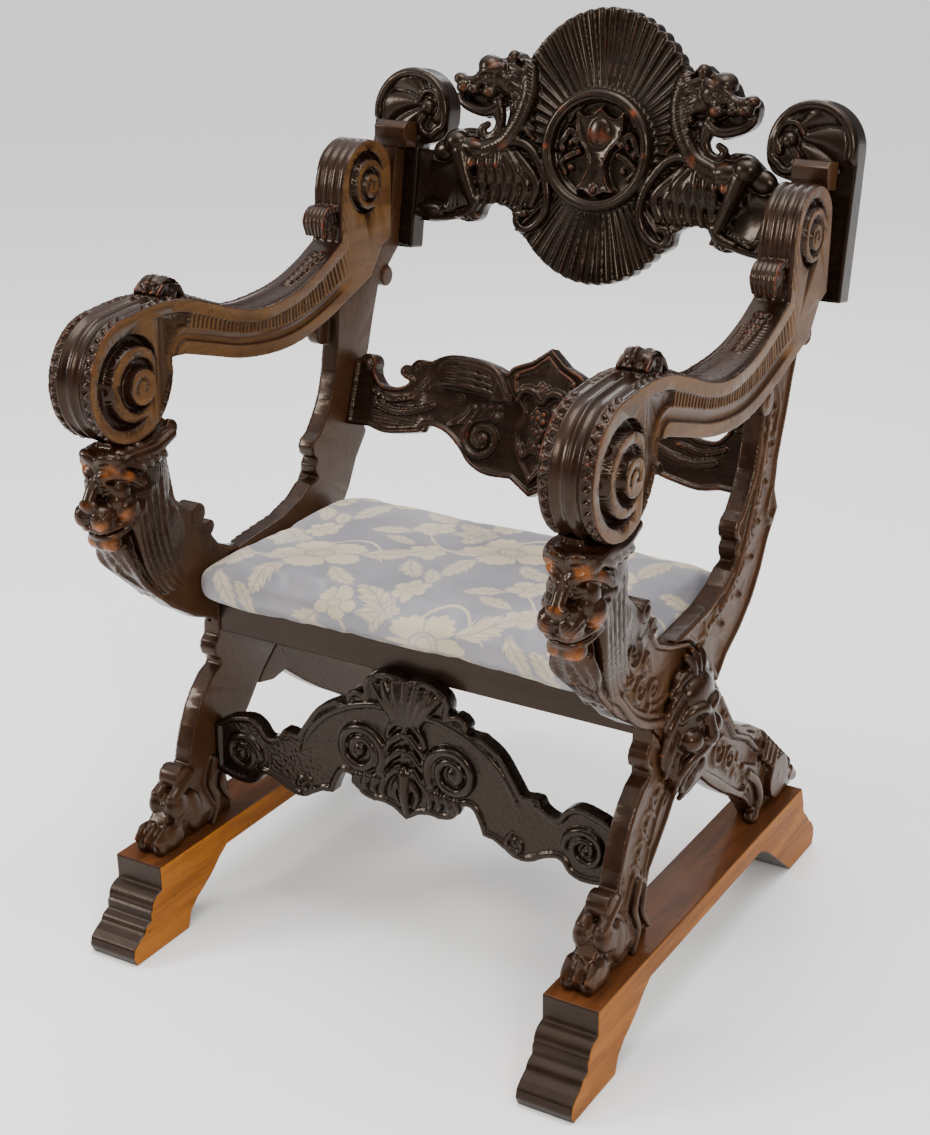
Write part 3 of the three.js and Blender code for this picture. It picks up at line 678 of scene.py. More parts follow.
def support_drawing(height, at):
    ribbon(height, at, [(-130, 374), (-168, 388), (-206, 412), (-244, 446), (-262, 440)], 11, 4.6, 8)
    for y, z, size in ((-202, 486, 17), (-214, 462, 10)):
        drawn(height, at, arc((y, z), size, 0, 360, 30), 4.2, 4.4)
        drawn(height, at, [(y - 3, z + 4), (y - 2.5, z + 4)], 4.5, 5.0)
        drawn(height, at, [(y + 3, z - 5), (y + 3.5, z - 5)], 3.5, 4.4)
    for y, z, size in ((-184, 436, 13), (-152, 424, 10), (-170, 464, 8)):
        drawn(height, at, arc((y, z), size, 30, 330, 24), 4.2, 4.4)
        drawn(height, at, [(y, z), (y + 0.5, z)], 5.0, 5.0)
    ribbon(height, at, [(-108, 402), (-136, 400), (-160, 406)], 7, 3.6, 7)
    ribbon(height, at, [(52, 332), (80, 300), (110, 268), (142, 244), (176, 232)], 10, 4.4, 9)
    ribbon(height, at, [(-8, 262), (24, 240), (60, 216), (104, 184), (136, 166), (150, 176)], 9, 4.4, 9)
    for y, z, size in ((52, 262, 17), (84, 238, 13)):
        drawn(height, at, arc((y, z), size, 20, 350, 30), 4.0, 4.2)
        drawn(height, at, [(y, z), (y + 0.5, z)], 5.0, 5.0)
    flower(height, at, (112, 216), 15, 5, 0)
    flower(height, at, (30, 300), 14, 5, 20)
    for k in range(6):
        drop = 12 * k
        drawn(height, at, curve([(134 + 0.3 * drop, 204 - 0.55 * drop),
                                 (176 + 0.5 * drop, 184 - 0.6 * drop), (222 + drop, 158 - 0.62 * drop),
                                 (250 + 1.1 * drop, 138 - 0.5 * drop)], 6), 6.2, 4.2, 0.25)


def paw(bm):
    """Two broad toes, each with a blunt nail below and a knuckle above, and a shaggy heel."""
    for across in (-11.8, 11.8):
        x = FRAME_X + across
        ball(bm, (x, -269, 129), (12.2, 23, 18), (-6, 0, 0))
        ball(bm, (x, -287, 120), (9, 9.5, 11))
        ball(bm, (x, -253, 164), (12.2, 17, 18), (-18, 0, 0))
        strand(bm, [(x, -258, 176), (x, -240, 186), (x, -222, 196)], 9, 7)
    ball(bm, (FRAME_X, -216, 140), (20, 46, 32), (-14, 0, 0))
    for way in (-1, 1):
        ball_at, strand_at = placed(bm, (FRAME_X, 0, 0), (way, 1, 1))
        ball_at((15, -224, 146), (8.5, 17, 30), (12, 0, 0))
        strand_at([(15, -176, 196), (17, -188, 168), (19, -180, 140), (19, -190, 114)], 6, 4.5)
        strand_at([(14, -158, 180), (17, -166, 156), (20, -154, 132)], 5.5, 4)
    strand(bm, [(FRAME_X, -162, 178), (FRAME_X, -152, 146), (FRAME_X, -146, 114)], 15, 12)


def upright_shape(bm):
    cad_lumps(bm, "upright_right")
    paw(bm)
    disc(bm, (-236, 195), 15.8, FRAME_X - 13.5, FRAME_X + 13.5)
    disc(bm, (243, 735), 13.4, FRAME_X - 15, FRAME_X + 15)
    disc(bm, (118, 684), 17.3, 300, 316.2)
    for centre, radius, face in (((-236, 195), 9, 310), ((243, 735), 7, 312), ((118, 684), 8, 317)):
        disc(bm, centre, radius, face - 3, face + 1.6)


def upright_relief(co, normal):
    return face_relief(co, normal, upright_drawing)


def board_face_sheen(co, normal):
    """Painted sheen: outer faces of the boards get a lighter satin grey-brown, more of it higher up, and
    inner faces some; edges and deep carving stay dark.
    """
    outer, inner = ease(normal[:, 0], 0.55, 0.95), ease(-normal[:, 0], 0.7, 0.95)
    return outer * (0.55 + 0.3 * ease(co[:, 2], 0.2, 0.5)) + 0.4 * inner


FRAME_WOOD = waxed_wood("walnut_frame_waxed", "#29160c", "#1a0e08", "#7d3f1c", "#0a0604", 2, 0.27,
                        ("#442b1a", "#583c26"))
upright = carved("carved_upright_right", upright_shape, upright_relief, grit=1.7)
finish_skin(upright, MM, FRAME_WOOD, triangles=60000, rub_and_sheen=board_face_sheen)
of_frame(upright, "upright_right")
other_side(upright, "carved_upright_left", "upright_left")


def lion_head(bm, x):
    """A lion's head under the arm's volute: swept fringe, heavy brow, broad muzzle, beard and mane."""
    ball_at, strand_at = placed(bm, (x, 0, 0))
    ball_at((0, -290, 596), (24, 44, 46))
    ball_at((0, -262, 524), (21, 52, 70), (28, 0, 0))
    for across in (-27, -18, -9, 0, 9, 18, 27):
        drop = 0.006 * across * across
        strand_at([(0.5 * across, -340 + drop, 627), (0.85 * across, -338 + drop, 637 - drop),
                   (across, -318, 642 - drop), (1.05 * across, -278, 642 - drop), (across, -244, 647)],
                  8.5, 7.5)
    for across in (-16, 0, 16):
        strand_at([(across, -252, 636), (across, -236, 640), (across, -227, 650), (across, -234, 655)],
                  9.5, 6)
    strand_at([(0, -338, 618), (0, -352, 606), (0, -361, 594)], 9.5, 8)
    ball_at((0, -362, 589), (12, 8, 8.5))
    for way in (-1, 1):
        side_ball, side_strand = placed(bm, (x, 0, 0), (way, 1, 1))
        side_strand([(3, -343, 611), (9, -345, 620), (19, -337, 623), (27, -320, 617), (30, -304, 606)],
                    7.6, 6.4)
        side_ball((16, -327, 600), (13, 15, 17))
        side_ball((12, -343, 607), (5.4, 5.2, 4.6))
        side_strand([(5, -347, 610), (12, -349, 612.5), (20, -341, 608)], 2.8, 2.2)
        side_strand([(5, -347, 604), (12, -347.5, 601.5), (20, -341, 604)], 2.8, 2.2)
        side_ball((23, -323, 581), (12.5, 16, 15.5))
        side_ball((16, -332, 590), (12, 13, 12))
        side_ball((11, -350, 574), (14, 18, 16.5))
        side_ball((8, -361, 590), (5, 5.5, 5))
        side_strand([(3, -360, 562), (13, -354, 559), (22, -338, 562), (27, -322, 566)], 4.6, 3.4)
        side_strand([(0, -350, 550), (11, -346, 549), (21, -332, 552), (27, -318, 560)], 5.0, 3.6)
        side_ball((10, -337, 541), (12, 13, 12))
        side_ball((12, -276, 590), (14, 40, 52), (8, 0, 0))
        side_ball((9, -330, 606), (10, 11, 12))
        for k in range(5):
            y = -306 + 12 * k
            side_strand([(22 - k, y - 4, 570 + 6 * k), (23 - k, y + 2, 536), (20 - k, y + 16, 500),
                         (14 - k, y + 44, 462), (8, y + 66, 446)], 8.5, 4)
        for k in range(4):
            side_strand([(2, -342 + 15 * k, 636 + 2 * k), (15, -344 + 16 * k, 642 + k),
                         (27, -328 + 15 * k, 637), (31, -308 + 14 * k, 628 + k),
                         (27, -296 + 13 * k, 619 + 2 * k)], 7.5, 5)
    disc(bm, (-180, 527), 13, x - 12.5, x + 15)
    disc(bm, (-180, 527), 6, x + 13, x + 18)
    disc(bm, (-158, 503), 9, x - 12, x + 14)
    ball_at((0, -336, 541), (17, 15, 13.5))
    for k, across in enumerate((-17, -11, -4, 4, 11, 17)):
        curl = 3 if k % 2 else -3
        strand_at([(across, -332 + 0.4 * abs(across), 530), (1.15 * across + curl, -316, 506),
                   (0.9 * across - curl, -290, 476), (0.6 * across + curl, -262, 448)], 7, 3.5)


LION_RUBBED = [(296 + way * x, y, z, r) for way in (-1, 1) for x, y, z, r in (
    (20, -343, 625, 20), (29, -324, 620, 15), (29, -330, 574, 18), (15, -364, 566, 17), (14, -346, 536, 20),
    (12, -232, 656, 16), (5, -370, 592, 10), (22, -346, 552, 10))]


def support_shape(bm):
    cad_lumps(bm, "arm_support_right")
    lion_head(bm, FRAME_X)
    ball_at, strand_at = placed(bm, (FRAME_X, 0, 0))
    ball_at((5, 234, 150), (20, 31, 29))
    ball_at((8, 262, 132), (16, 27, 22), (-24, 0, 0))
    for k in range(7):
        y, z = 198 + 15.5 * k, 220 - 12.5 * k
        ball_at((2, y, z), (16, 8.5, 9), (-35, 0, 0))
        strand_at([(18, y - 12, z - 22 + k), (18, y - 2, z - 8)], 6.5, 5.5)
    strand_at([(11, 146, 190), (14, 172, 168), (15, 184, 140), (12, 176, 116)], 8)
    ball_at((14, 170, 118), (9, 12, 9))
    for across in (-12, 0, 12):
        strand_at([(across, 220, 160), (across, 256, 148), (across, 288, 130), (across, 306, 119)], 13,
                  10)
    strand(bm, [(309, -128, 374), (310, -168, 389), (310, -204, 411), (310, -238, 444), (310, -254, 456),
                (310, -250, 468), (309, -240, 464)], 7, 5, (0.7, 1, 1))


def hair(co, normal):
    """Fine grooves that follow the locks of fringe, mane and beard."""
    x, y, z = (co[:, i] for i in range(3))
    head = ease(z, 452, 478) * (1 - ease(y, -226, -196))
    back = ease(y, -316, -296)
    fringe = ease(z, 627, 632)
    beard = (1 - ease(z, 518, 530)) * (1 - ease(y, -300, -285))
    mane = np.clip(head * (back + beard) * (1 - fringe), 0, 1)
    flow = y + 0.42 * (z - 560) * ease(z, 440, 600) - 0.5 * (z - 560) + 5 * np.sin(z / 17)
    strands = mane * np.sin(flow * 2 * np.pi / 5.2 + 0.8 * np.sin(z / 9))
    swept = head * fringe * np.sin(x * 2 * np.pi / 4.6 + 1.3 * np.sin(y / 15))
    whisker = (1 - ease(y, -342, -334)) * (1 - ease(z, 582, 586)) * ease(z, 562, 566)
    lines = whisker * np.sin(np.hypot(z - 592, 1.3 * (np.abs(x - FRAME_X) - 4)) * 2 * np.pi / 4.4)
    return normal * (0.22 * strands + 0.3 * swept + 0.55 * lines)[:, None]


def support_relief(co, normal):
    relief = face_relief(co, normal, support_drawing)
    relief[co[:, 2] > 500] = 0
    return relief + hair(co, normal)


def support_face_sheen(co, normal):
    """The boards' painted sheen, left off the lion's head and mane, which keep their dark wax."""
    return board_face_sheen(co, normal) * (1 - ease(co[:, 2], 0.46, 0.5))


LION_WOOD = waxed_wood("walnut_lion_waxed", "#2b170c", "#1b0e07", "#84491d", "#080403", 2, 0.22,
                       ("#442b1a", "#583c26"))
support = carved("lion_arm_support_right", support_shape, support_relief, grit=1.7)
finish_skin(support, MM, LION_WOOD, triangles=88000, rub_and_sheen=support_face_sheen, reach=5.0,
            rubbed=LION_RUBBED)
of_frame(support, "arm_support_right")
other_side(support, "lion_arm_support_left", "arm_support_left")

# ---- crossing masks ------------------------------------------------------------------------------
# A grotesque bearded face with short curls of hair round it, carved as a separate block and applied
# over each halved joint.

MASK = (FACE, -62.0, 348.0)


def mask_shape(bm):
    x, y, z = MASK
    slab(bm, [(y + (64 + 4 * math.cos(9 * a)) * math.cos(a), z + (80 + 4 * math.cos(9 * a)) * math.sin(a))
              for a in np.linspace(0, 2 * math.pi, 90, endpoint=False)], x - 2, x + 5)
    ball_at, strand_at = placed(bm, MASK)
    ball_at((4, 0, 6), (25, 46, 66))
    ball_at((15, 0, 41), (16, 34, 27))
    strand_at([(29, 0, 24), (34, 0, 4), (37, 0, -7)], 7, 8)
    ball_at((37, 0, -10), (7.5, 9, 7.5))
    ball_at((25, 0, -31), (6, 11, 5))
    ball_at((18, 0, -46), (13, 15, 14))
    for way in (-1, 1):
        side_ball, side_strand = placed(bm, MASK, (1, way, 1))
        side_ball((8, 27, 28), (14, 16, 24))
        side_strand([(29, 3, 23), (31, 13, 31), (25, 27, 31), (14, 39, 20)], 7.5, 5.5)
        side_ball((25, 15, 15), (5.5, 7.5, 5.5))
        side_strand([(29, 8, 10), (28, 16, 8), (20, 25, 12)], 3, 2.4)
        side_ball((20, 26, -6), (17, 17, 15))
        side_ball((31, 8, -12), (6, 6, 5.5))
        side_strand([(32, 3, -19), (30, 14, -23), (23, 28, -32), (15, 39, -50), (8, 35, -72)], 7, 4.5)
        side_strand([(26, 5, -24), (23, 15, -36), (16, 25, -54), (9, 20, -76)], 6, 4)
        for k in range(6):
            turn = math.radians(74 - 26 * k)
            side_strand([(7, 42 * math.cos(turn), 6 + 62 * math.sin(turn)),
                         (8, 56 * math.cos(turn - 0.22), 2 + 74 * math.sin(turn - 0.22)),
                         (4, 64 * math.cos(turn - 0.55), 78 * math.sin(turn - 0.55))], 9, 4.5)
    for k in (-1, 0, 1):
        strand_at([(11, 10 * k, 62), (11, 13 * k + 4, 76), (7, 17 * k, 89)], 9, 5)
    for k in range(-2, 3):
        strand_at([(20, 5 * k, -52), (15, 7 * k + 2, -70), (6, 6 * k - 2, -90)], 7, 3.5)
    bmesh.ops.bisect_plane(bm, geom=bm.verts[:] + bm.edges[:] + bm.faces[:], plane_co=(FACE + 0.3, 0, 0),
                           plane_no=(-1, 0, 0), clear_outer=True)
    bmesh.ops.holes_fill(bm, edges=[e for e in bm.edges if e.is_boundary])


def mask_hair(co, normal):
    turn = np.arctan2(co[:, 2] - 350, co[:, 1] + 62)
    far = np.hypot(co[:, 1] + 62, co[:, 2] - 350)
    return normal * (0.35 * ease(far, 58, 66) * np.sin(turn * 34 + 0.16 * far))[:, None]


mask = carved("crossing_mask_carved_right", mask_shape, mask_hair, grit=1.5)
finish_skin(mask, MM, LION_WOOD, triangles=30000, reach=5.0)
of_frame(mask, "crossing_mask_right")
other_side(mask, "crossing_mask_carved_left", "crossing_mask_left")

# ---- crest posts ---------------------------------------------------------------------------------
# The back posts end in leaning walnut planks. Each is topped by an ear carved as a shell scroll.
# Drawn flat in X and up, with the third axis towards the sitter, then stood up at their lean.


def stood(y, z, lean):
    """Places a flat-drawn piece: it stands at y and z and leans back by an angle."""
    return MM @ Matrix.Translation((0, y, z)) @ Matrix.Rotation(math.radians(90 - lean), 4, "X")


CREST = stood(283.7, 748.4, 8.45)
EAR = (279.0, 196.0)


def crest_post_shape(bm):
    outline = np.vstack([[(265.3, 19), (337, 19)], arc(EAR, 57.5, 0, 190, 36),
                         curve([(224, 176), (236, 162), (265.3, 154)], 4)])
    slab(bm, outline, -21, 10, upright=False)
    rim = [(EAR[0] + 51 * math.cos(a), EAR[1] + 51 * math.sin(a), 11)
           for a in np.radians(np.linspace(-8, 196, 14))]
    strand(bm, rim + [(238, 176, 11), (248, 168, 11), (260, 172, 12), (264, 184, 13), (258, 192, 14)],
           6.5, 5)
    ball(bm, (252, 204, 15), (10, 10, 9))
    strand(bm, [(240, 190, 12), (234, 206, 13), (242, 222, 13), (258, 224, 13), (268, 212, 12)], 5, 3)


def crest_post_relief(co, normal):
    at, level = co[:, :2], co[:, 2]
    front = (normal[:, 2] > 0.6) & (np.abs(level - 10) < 1.2)
    height = np.zeros(len(co))
    far = np.hypot(at[:, 0] - 252, at[:, 1] - 204)
    turn = np.degrees(np.arctan2(at[:, 1] - 204, at[:, 0] - 252))
    inside = ease(-np.hypot(at[:, 0] - EAR[0], at[:, 1] - EAR[1]), -48, -44) * ease(far, 12, 18)
    flute = np.abs(np.sin(np.radians(turn + 0.35 * far) * 4.5)) ** 0.6
    fan = ease(turn, -75, -60) * (1 - ease(turn, 150, 165))
    height += inside * fan * (7.0 * flute - 4.5) + inside * (1 - fan) * -1.5
    border = np.minimum(at[:, 0] - 265.3, 337 - at[:, 0])
    below = 1 - ease(at[:, 1], 138, 146)
    height -= 2.2 * below * ease(border, 5.5, 7.5)
    height -= 1.6 * below * (np.abs((at[:, 0] - 301) / 30) < 0.6) * np.abs(np.sin(at[:, 1] * np.pi
            / 14)) ** 3
    push = np.zeros_like(co)
    push[:, 2] = height * front
    return push


CREST_WOOD = waxed_wood("walnut_crest_waxed", "#1a100a", "#110a07", "#63301a", "#070403", 0, 0.24)
post = carved("shell_ear_post_right", crest_post_shape, crest_post_relief, grit=1.7, soften=2)
finish_skin(post, CREST, CREST_WOOD, triangles=24000)
of_frame(post, "crest_post_right")
other_side(post, "shell_ear_post_left", "crest_post_left")

# ---- crest panel ---------------------------------------------------------------------------------
# One carved walnut board: an oval sunburst with scalloped rays, a ringed medallion holding a plain
# shield, and on each side a griffin that turns outwards over its folded wing.

SUN = (0.0, 173.0)
MEDAL = (0.0, 170.0)
RAYS = 54
shield_half = curve([(0, 53), (6, 47), (14, 42), (24, 41), (31, 47), (33, 30), (27, 12), (15, -4),
                     (12, -22), (19, -42), (27, -50), (14, -51), (6, -55), (0, -58)], 4)


def both(half):
    """A symmetric outline from its right half, drawn from the top down."""
    half = np.asarray(half, float)
    return np.vstack([half, (half * (-1, 1))[::-1][1:-1]])[::-1]


def griffin(bm, way):
    _, strand_at = placed(bm, mirror=(way, 1, 1))

    def lump(x, up, forward, half, turn=0):
        ball(bm, (way * x, up, forward), half, (0, 0, way * turn))

    outline = np.vstack([
        [(70, 60)],
        curve([(96, 50), (112, 62), (116, 80), (140, 90), (158, 86), (166, 68), (184, 62), (206, 66),
               (226, 58), (250, 58), (264.6, 70)], 3),
        [(264.6, 150)],
        curve([(238, 150), (217, 168), (200, 181), (182, 183), (168, 176)], 3),
        [(140, 168), (132, 178), (127, 190), (127, 206), (132, 216)],
        curve([(164, 196), (184, 204), (202, 216), (207, 236), (200, 248), (184, 245), (174, 262),
               (160, 272)], 3),
        [(146, 274), (134, 283), (124, 281), (112, 270), (98, 274), (70, 285)]])
    outline = outline * (way, 1)
    slab(bm, outline[::way], -11, 8, upright=False)
    strand_at([(x, up, 12) for x, up in ((148, 206), (143, 192), (150, 178), (164, 174), (170, 183),
                                         (162, 189))], 8, 5)
    strand_at([(108, 262, 8), (104, 236, 12), (108, 212, 15), (118, 190, 15), (134, 170, 14),
               (160, 158, 14)], 13, 12)
    lump(162, 262, 15, (17, 15, 17))
    lump(148, 250, 13, (18, 18, 16))
    lump(132, 240, 11, (18, 16, 13))
    strand_at([(142, 262, 22), (152, 258, 27), (164, 256, 28), (174, 250, 24)], 6, 4.5)
    lump(159, 247, 26, (6.5, 5.5, 5))
    strand_at([(150, 240, 24), (160, 239, 26), (170, 244, 24)], 3.2, 2.4)
    strand_at([(168, 247, 20), (184, 240, 22), (198, 241, 21)], 9, 9)
    lump(202, 244, 20, (9.5, 8, 11))
    lump(195, 233, 22, (11, 8, 11))
    lump(180, 232, 22, (10, 8, 11), 10)
    lump(158, 230, 19, (12, 9, 12))
    strand_at([(146, 214, 14), (160, 206, 17), (178, 207, 18), (196, 214, 17), (203, 222, 15)], 8, 6.5)
    strand_at([(150, 222, 12), (144, 208, 13), (142, 196, 13)], 9, 7)
    lump(132, 274, 12, (8, 11, 9), 12)
    strand_at([(130, 262, 14), (116, 258, 18), (100, 262, 15)], 8, 3)
    for k in range(6):
        y = 250 - 12 * k
        strand_at([(128 - 2 * k, y + 2, 18), (110 - k, y - 2, 17), (96 - 0.5 * k, y - 14, 12)], 5.5, 2.6)
    # body, shoulder and leg
    lump(203, 164, 14, (19, 17, 18), -12)
    lump(178, 158, 14, (24, 14, 15), 8)
    lump(222, 152, 8, (20, 15, 12), -20)
    strand_at([(196, 152, 18), (188, 128, 18), (178, 104, 16), (172, 90, 15)], 13, 8)
    strand_at([(168, 90, 14), (176, 78, 14), (194, 72, 13)], 8.5, 6.5)
    for k in range(3):
        strand_at([(174 + 6 * k, 82 - 3 * k, 16), (166 + 8 * k, 72 - 2 * k, 14)], 4.6, 3.4)
    strand_at([(196, 70, 9), (216, 66, 9), (240, 64, 9), (259, 68, 9)], 6, 6)
    lump(238, 74, 8, (18, 9, 11))
    # folded wing: a rolled border, three tiers of feathers
    border = [(134, 164, 18), (124, 170, 17), (110, 171, 16), (94, 163, 15), (80, 146, 15),
              (69, 124, 15), (65, 100, 15), (71, 80, 14), (84, 66, 13), (98, 62, 13), (107, 70, 14),
              (105, 81, 15), (96, 82, 16)]
    strand_at(border, 6.5, 5.5)
    for k in range(6):
        strand_at([(118 + 9 * k, 156 - 2 * k, 10), (84 + 15.5 * k, 122 - 2.5 * k, 12),
                   (91 + 14.5 * k, 93 + 0.2 * k, 9)], 8.2, 6.0, (1, 1, 0.85))
    for k in range(5):
        strand_at([(128 + 9.5 * k, 156 - 2 * k, 15), (112 + 13 * k, 136 - 2 * k, 17),
                   (112 + 13.5 * k, 122 - k, 14)], 7.0, 6.2, (1, 1, 0.8))
    for k in range(4):
        strand_at([(140 + 12 * k, 154 - 2 * k, 18), (139 + 13 * k, 141 - 1.0 * k, 20)], 6.6, 6.0)
    strand_at([(130, 166, 18), (146, 155, 20), (164, 148, 21), (188, 149, 20)], 5, 4)


def crest_shape(bm):
    turns = np.linspace(0, 2 * math.pi, RAYS * 8, endpoint=False)
    reach = 0.972 + 0.028 * np.abs(np.sin(turns * RAYS / 2)) ** 0.55
    slab(bm, np.stack([SUN[0] + 136 * reach * np.cos(turns), SUN[1] + 172 * reach * np.sin(turns)], 1),
         -12, 9, upright=False)
    circle = [(69 * math.cos(a), MEDAL[1] + 69 * math.sin(a), 18) for a in np.linspace(0, 2 * math.pi, 25)]
    strand(bm, circle, 8.0, squeeze=(1, 1, 1.25))
    slab(bm, both(shield_half) + MEDAL, 3, 16, upright=False)
    ball(bm, (0, MEDAL[1] + 22, 12), (17, 22, 8))
    ball(bm, (0, MEDAL[1] - 49, 16), (5, 6, 5))
    for way in (-1, 1):
        side_ball, side_strand = placed(bm, (*MEDAL, 0), (way, 1, 1))
        side_strand([(58, -2, 9), (50, 10, 12), (42, 22, 12), (34, 14, 12), (40, 6, 12)], 4.6, 3.4)
        side_strand([(28, -4, 11), (40, -10, 12), (52, -20, 11), (44, -32, 11)], 4.4, 3.0)
        side_strand([(46, 34, 9), (38, 46, 10), (26, 56, 9)], 3.8, 3.0)
        for x, up in ((31, 8), (50, -2), (36, -24)):
            side_ball((x, up, 14), 4.2)
        griffin(bm, way)


def crest_relief(co, normal):
    at, level = co[:, :2], co[:, 2]
    front = normal[:, 2] > 0.5
    x, up = at[:, 0] - SUN[0], at[:, 1] - SUN[1]
    turn = np.arctan2(up / 172, x / 136)
    reach = np.hypot(x / 136, up / 172)
    ray = np.abs(np.sin(turn * RAYS / 2))
    face = np.abs(level - 9) < 1.0
    outside = ease(np.hypot(x, at[:, 1] - MEDAL[1]), 74, 79)
    height = face * outside * (reach * 9.0 * (0.5 - ray ** 0.8) + 5.0 * ease(reach, 0.55, 1.0))
    inner = (1 - ease(np.hypot(at[:, 0], at[:, 1] - MEDAL[1]), 58, 61)) * face
    height -= 4.0 * inner
    sheet = np.abs(level - 16) < 1.0
    rim = np.zeros(len(co))
    chosen = front & sheet & (np.hypot(at[:, 0], at[:, 1] - MEDAL[1]) < 62)
    line = np.zeros(int(chosen.sum()))
    drawn(line, at[chosen], np.vstack([both(shield_half), both(shield_half)[:1]]) + MEDAL, 3.2, 3.6)
    rim[chosen] = line - 1.2
    height += rim
    push = np.zeros_like(co)
    push[:, 2] = height * front
    groove = np.abs(np.hypot(at[:, 0], at[:, 1] - MEDAL[1]) - 64.5)
    push -= normal * (1.5 * (1 - ease(groove, 0.6, 1.8)) * (level > 17))[:, None]
    mane = (np.abs(at[:, 0]) > 92) & (np.abs(at[:, 0]) < 126) & (at[:, 1] > 180) & (level > 10)
    push += normal * (mane * 0.6 * np.sin((at[:, 1] - 0.5 * np.abs(at[:, 0])) * 2 * np.pi / 4.6))[:, None]
    return push


CREST_RUBBED = [(way * x, up, forward, r) for way in (-1, 1) for x, up, forward, r in (
    (152, 262, 26, 13), (204, 245, 24, 12), (194, 232, 32, 9), (156, 228, 30, 10), (131, 166, 26, 14),
    (172, 168, 24, 12), (176, 140, 26, 10), (158, 134, 26, 9), (140, 138, 26, 8), (190, 96, 26, 10),
    (8, 186, 20, 18), (49, 218, 26, 10), (69, 170, 26, 8))]
crest = carved("griffin_and_sunburst_crest", crest_shape, crest_relief, grit=1.6)
finish_skin(crest, CREST, CREST_WOOD, triangles=170000, reach=5.0, rubbed=CREST_RUBBED)
of_frame(crest, "crest_panel")

# ---- back rail -----------------------------------------------------------------------------------
# A leaning walnut board fixed between the back posts: a pointed cartouche in the middle, and on
# each side a fan of leaves in a scroll, a spiral with a rosette, and small curls along the edges.

RAIL = stood(136.2, 504.7, 17.7)
rail_half = np.vstack([
    [(0, 189)],
    curve([(24, 170), (48, 160), (57, 150)], 4),
    curve([(62, 152), (80, 158), (112, 163), (148, 160), (172, 148)], 4),
    curve([(182, 150), (192, 148), (199, 140), (208, 140), (212, 132), (206, 122), (196, 120)], 4),
    curve([(202, 114), (216, 109), (238, 110), (250, 122)], 4),
    arc((264, 134), 13, 200, 40, 12),
    [(284.3, 136), (284.3, 50)],
    curve([(250, 52), (224, 47), (190, 52), (172, 56)], 4),
    curve([(166, 66), (150, 66), (130, 60), (110, 45), (92, 27), (66, 17), (30, 18)], 4),
    [(0, 0)]])
cartouche_half = np.vstack([
    [(0, 180)],
    curve([(20, 163), (42, 152), (44, 140), (36, 122), (24, 104), (31, 84), (28, 62), (18, 40)], 5),
    [(0, 16)]])


def rail_shape(bm):
    slab(bm, both(rail_half), -11, 11, upright=False)
    slab(bm, both(cartouche_half), 0, 15, upright=False)
    for way in (-1, 1):
        ball_at, strand_at = placed(bm, mirror=(way, 1, 1))
        for x, up, size, out in ((263, 133, 10, 16), (206, 131, 8, 15), (188, 140, 8, 15),
                                 (166, 62, 6, 13), (170, 117, 9, 14), (62, 92, 8, 16),
                                 (118, 108, 6, 14), (40, 148, 5, 18)):
            ball_at((x, up, out - 5), (size, size, 6))
        strand_at([(x, up, 12) for x, up in coil((78, 62), 27, 7, 40, -1.5, 20)], 5.4, 4.2)
        ball_at((76, 62, 13), (8, 8, 6))
        for k in range(5):
            lift = 1 - 0.17 * k
            fan = [(166 - 4 * k, 122 - k, 9), (150, 112 + 40 * lift, 11), (112, 110 + 47 * lift, 13),
                   (74, 108 + 42 * lift, 13), (48 + 6 * k, 118 - k, 11)]
            strand_at(fan, 6.4 if k == 0 else 4.8, 5.4 if k == 0 else 4.2)
        for k in range(4):
            strand_at([(62 + 12 * k, 104 - 2 * k, 10), (72 + 12 * k, 92 - 3 * k, 11),
                       (92 + 12 * k, 84 - 4 * k, 10)], 5.4, 3.2)
        strand_at([(240, 84, 9), (214, 78, 10), (186, 82, 11), (158, 92, 11)], 7, 4)
        strand_at([(250, 100, 9), (222, 92, 10), (190, 98, 11)], 5, 3)
        strand_at([(2, 122, 16), (12, 132, 19), (26, 132, 19), (33, 120, 17)], 6.0, 4.5)
        strand_at([(4, 60, 16), (14, 50, 17), (20, 62, 16)], 4.5, 3)
    for up, size in ((100, 8), (82, 7), (64, 7), (134, 6)):
        for k in range(5):
            a = 2 * math.pi * k / 5 + up
            ball(bm, (size * math.cos(a), up + size * math.sin(a), 16), (4.4, 4.4, 3.6), fine=2)
        ball(bm, (0, up, 17), (3.6, 3.6, 4.5), fine=2)


def rim_relief(outline, level, width, tall):
    """A raised, softly rounded rim along the outline of a flat-drawn board, and a sunk ground."""
    closed = np.vstack([outline, outline[:1]])

    def relief(co, normal):
        at = co[:, :2]
        chosen = np.flatnonzero((normal[:, 2] > 0.6) & (np.abs(co[:, 2] - level) < 1.4))
        gap, _, _ = nearest(at[chosen], closed)
        height = tall * (1 - ease(gap, width - 1.2, width + 1.2)) - 1.8 * ease(gap, width, width + 2)
        push = np.zeros_like(co)
        push[chosen, 2] = height
        return push
    return relief


def rail_relief(co, normal):
    push = (rim_relief(both(rail_half), 11, 5.2, 2.2)(co, normal)
            + rim_relief(both(cartouche_half), 15, 4.0, 2.0)(co, normal))
    mottle = (normal[:, 2] > 0.6) & (np.abs(co[:, 2] - 11) < 1.4) & (np.abs(co[:, 0]) > 175)
    push[:, 2] -= mottle * 0.5 * np.abs(np.sin(co[:, 1] * 0.75 + 0.02 * co[:, 0]))
    return push


RAIL_WOOD = waxed_wood("walnut_rail_waxed", "#22140d", "#160c08", "#6c3016", "#070403", 0, 0.25)
back_rail = carved("scrolled_back_rail", rail_shape, rail_relief, grit=1.6)
finish_skin(back_rail, RAIL, RAIL_WOOD, triangles=62000, reach=6.5)
of_frame(back_rail, "back_rail")

# ---- front stretcher -----------------------------------------------------------------------------
# A scrolled walnut board between the front legs. Two great spirals flank a leaf and a shell plume,
# and its sunk ground is pricked all over with a matting punch.

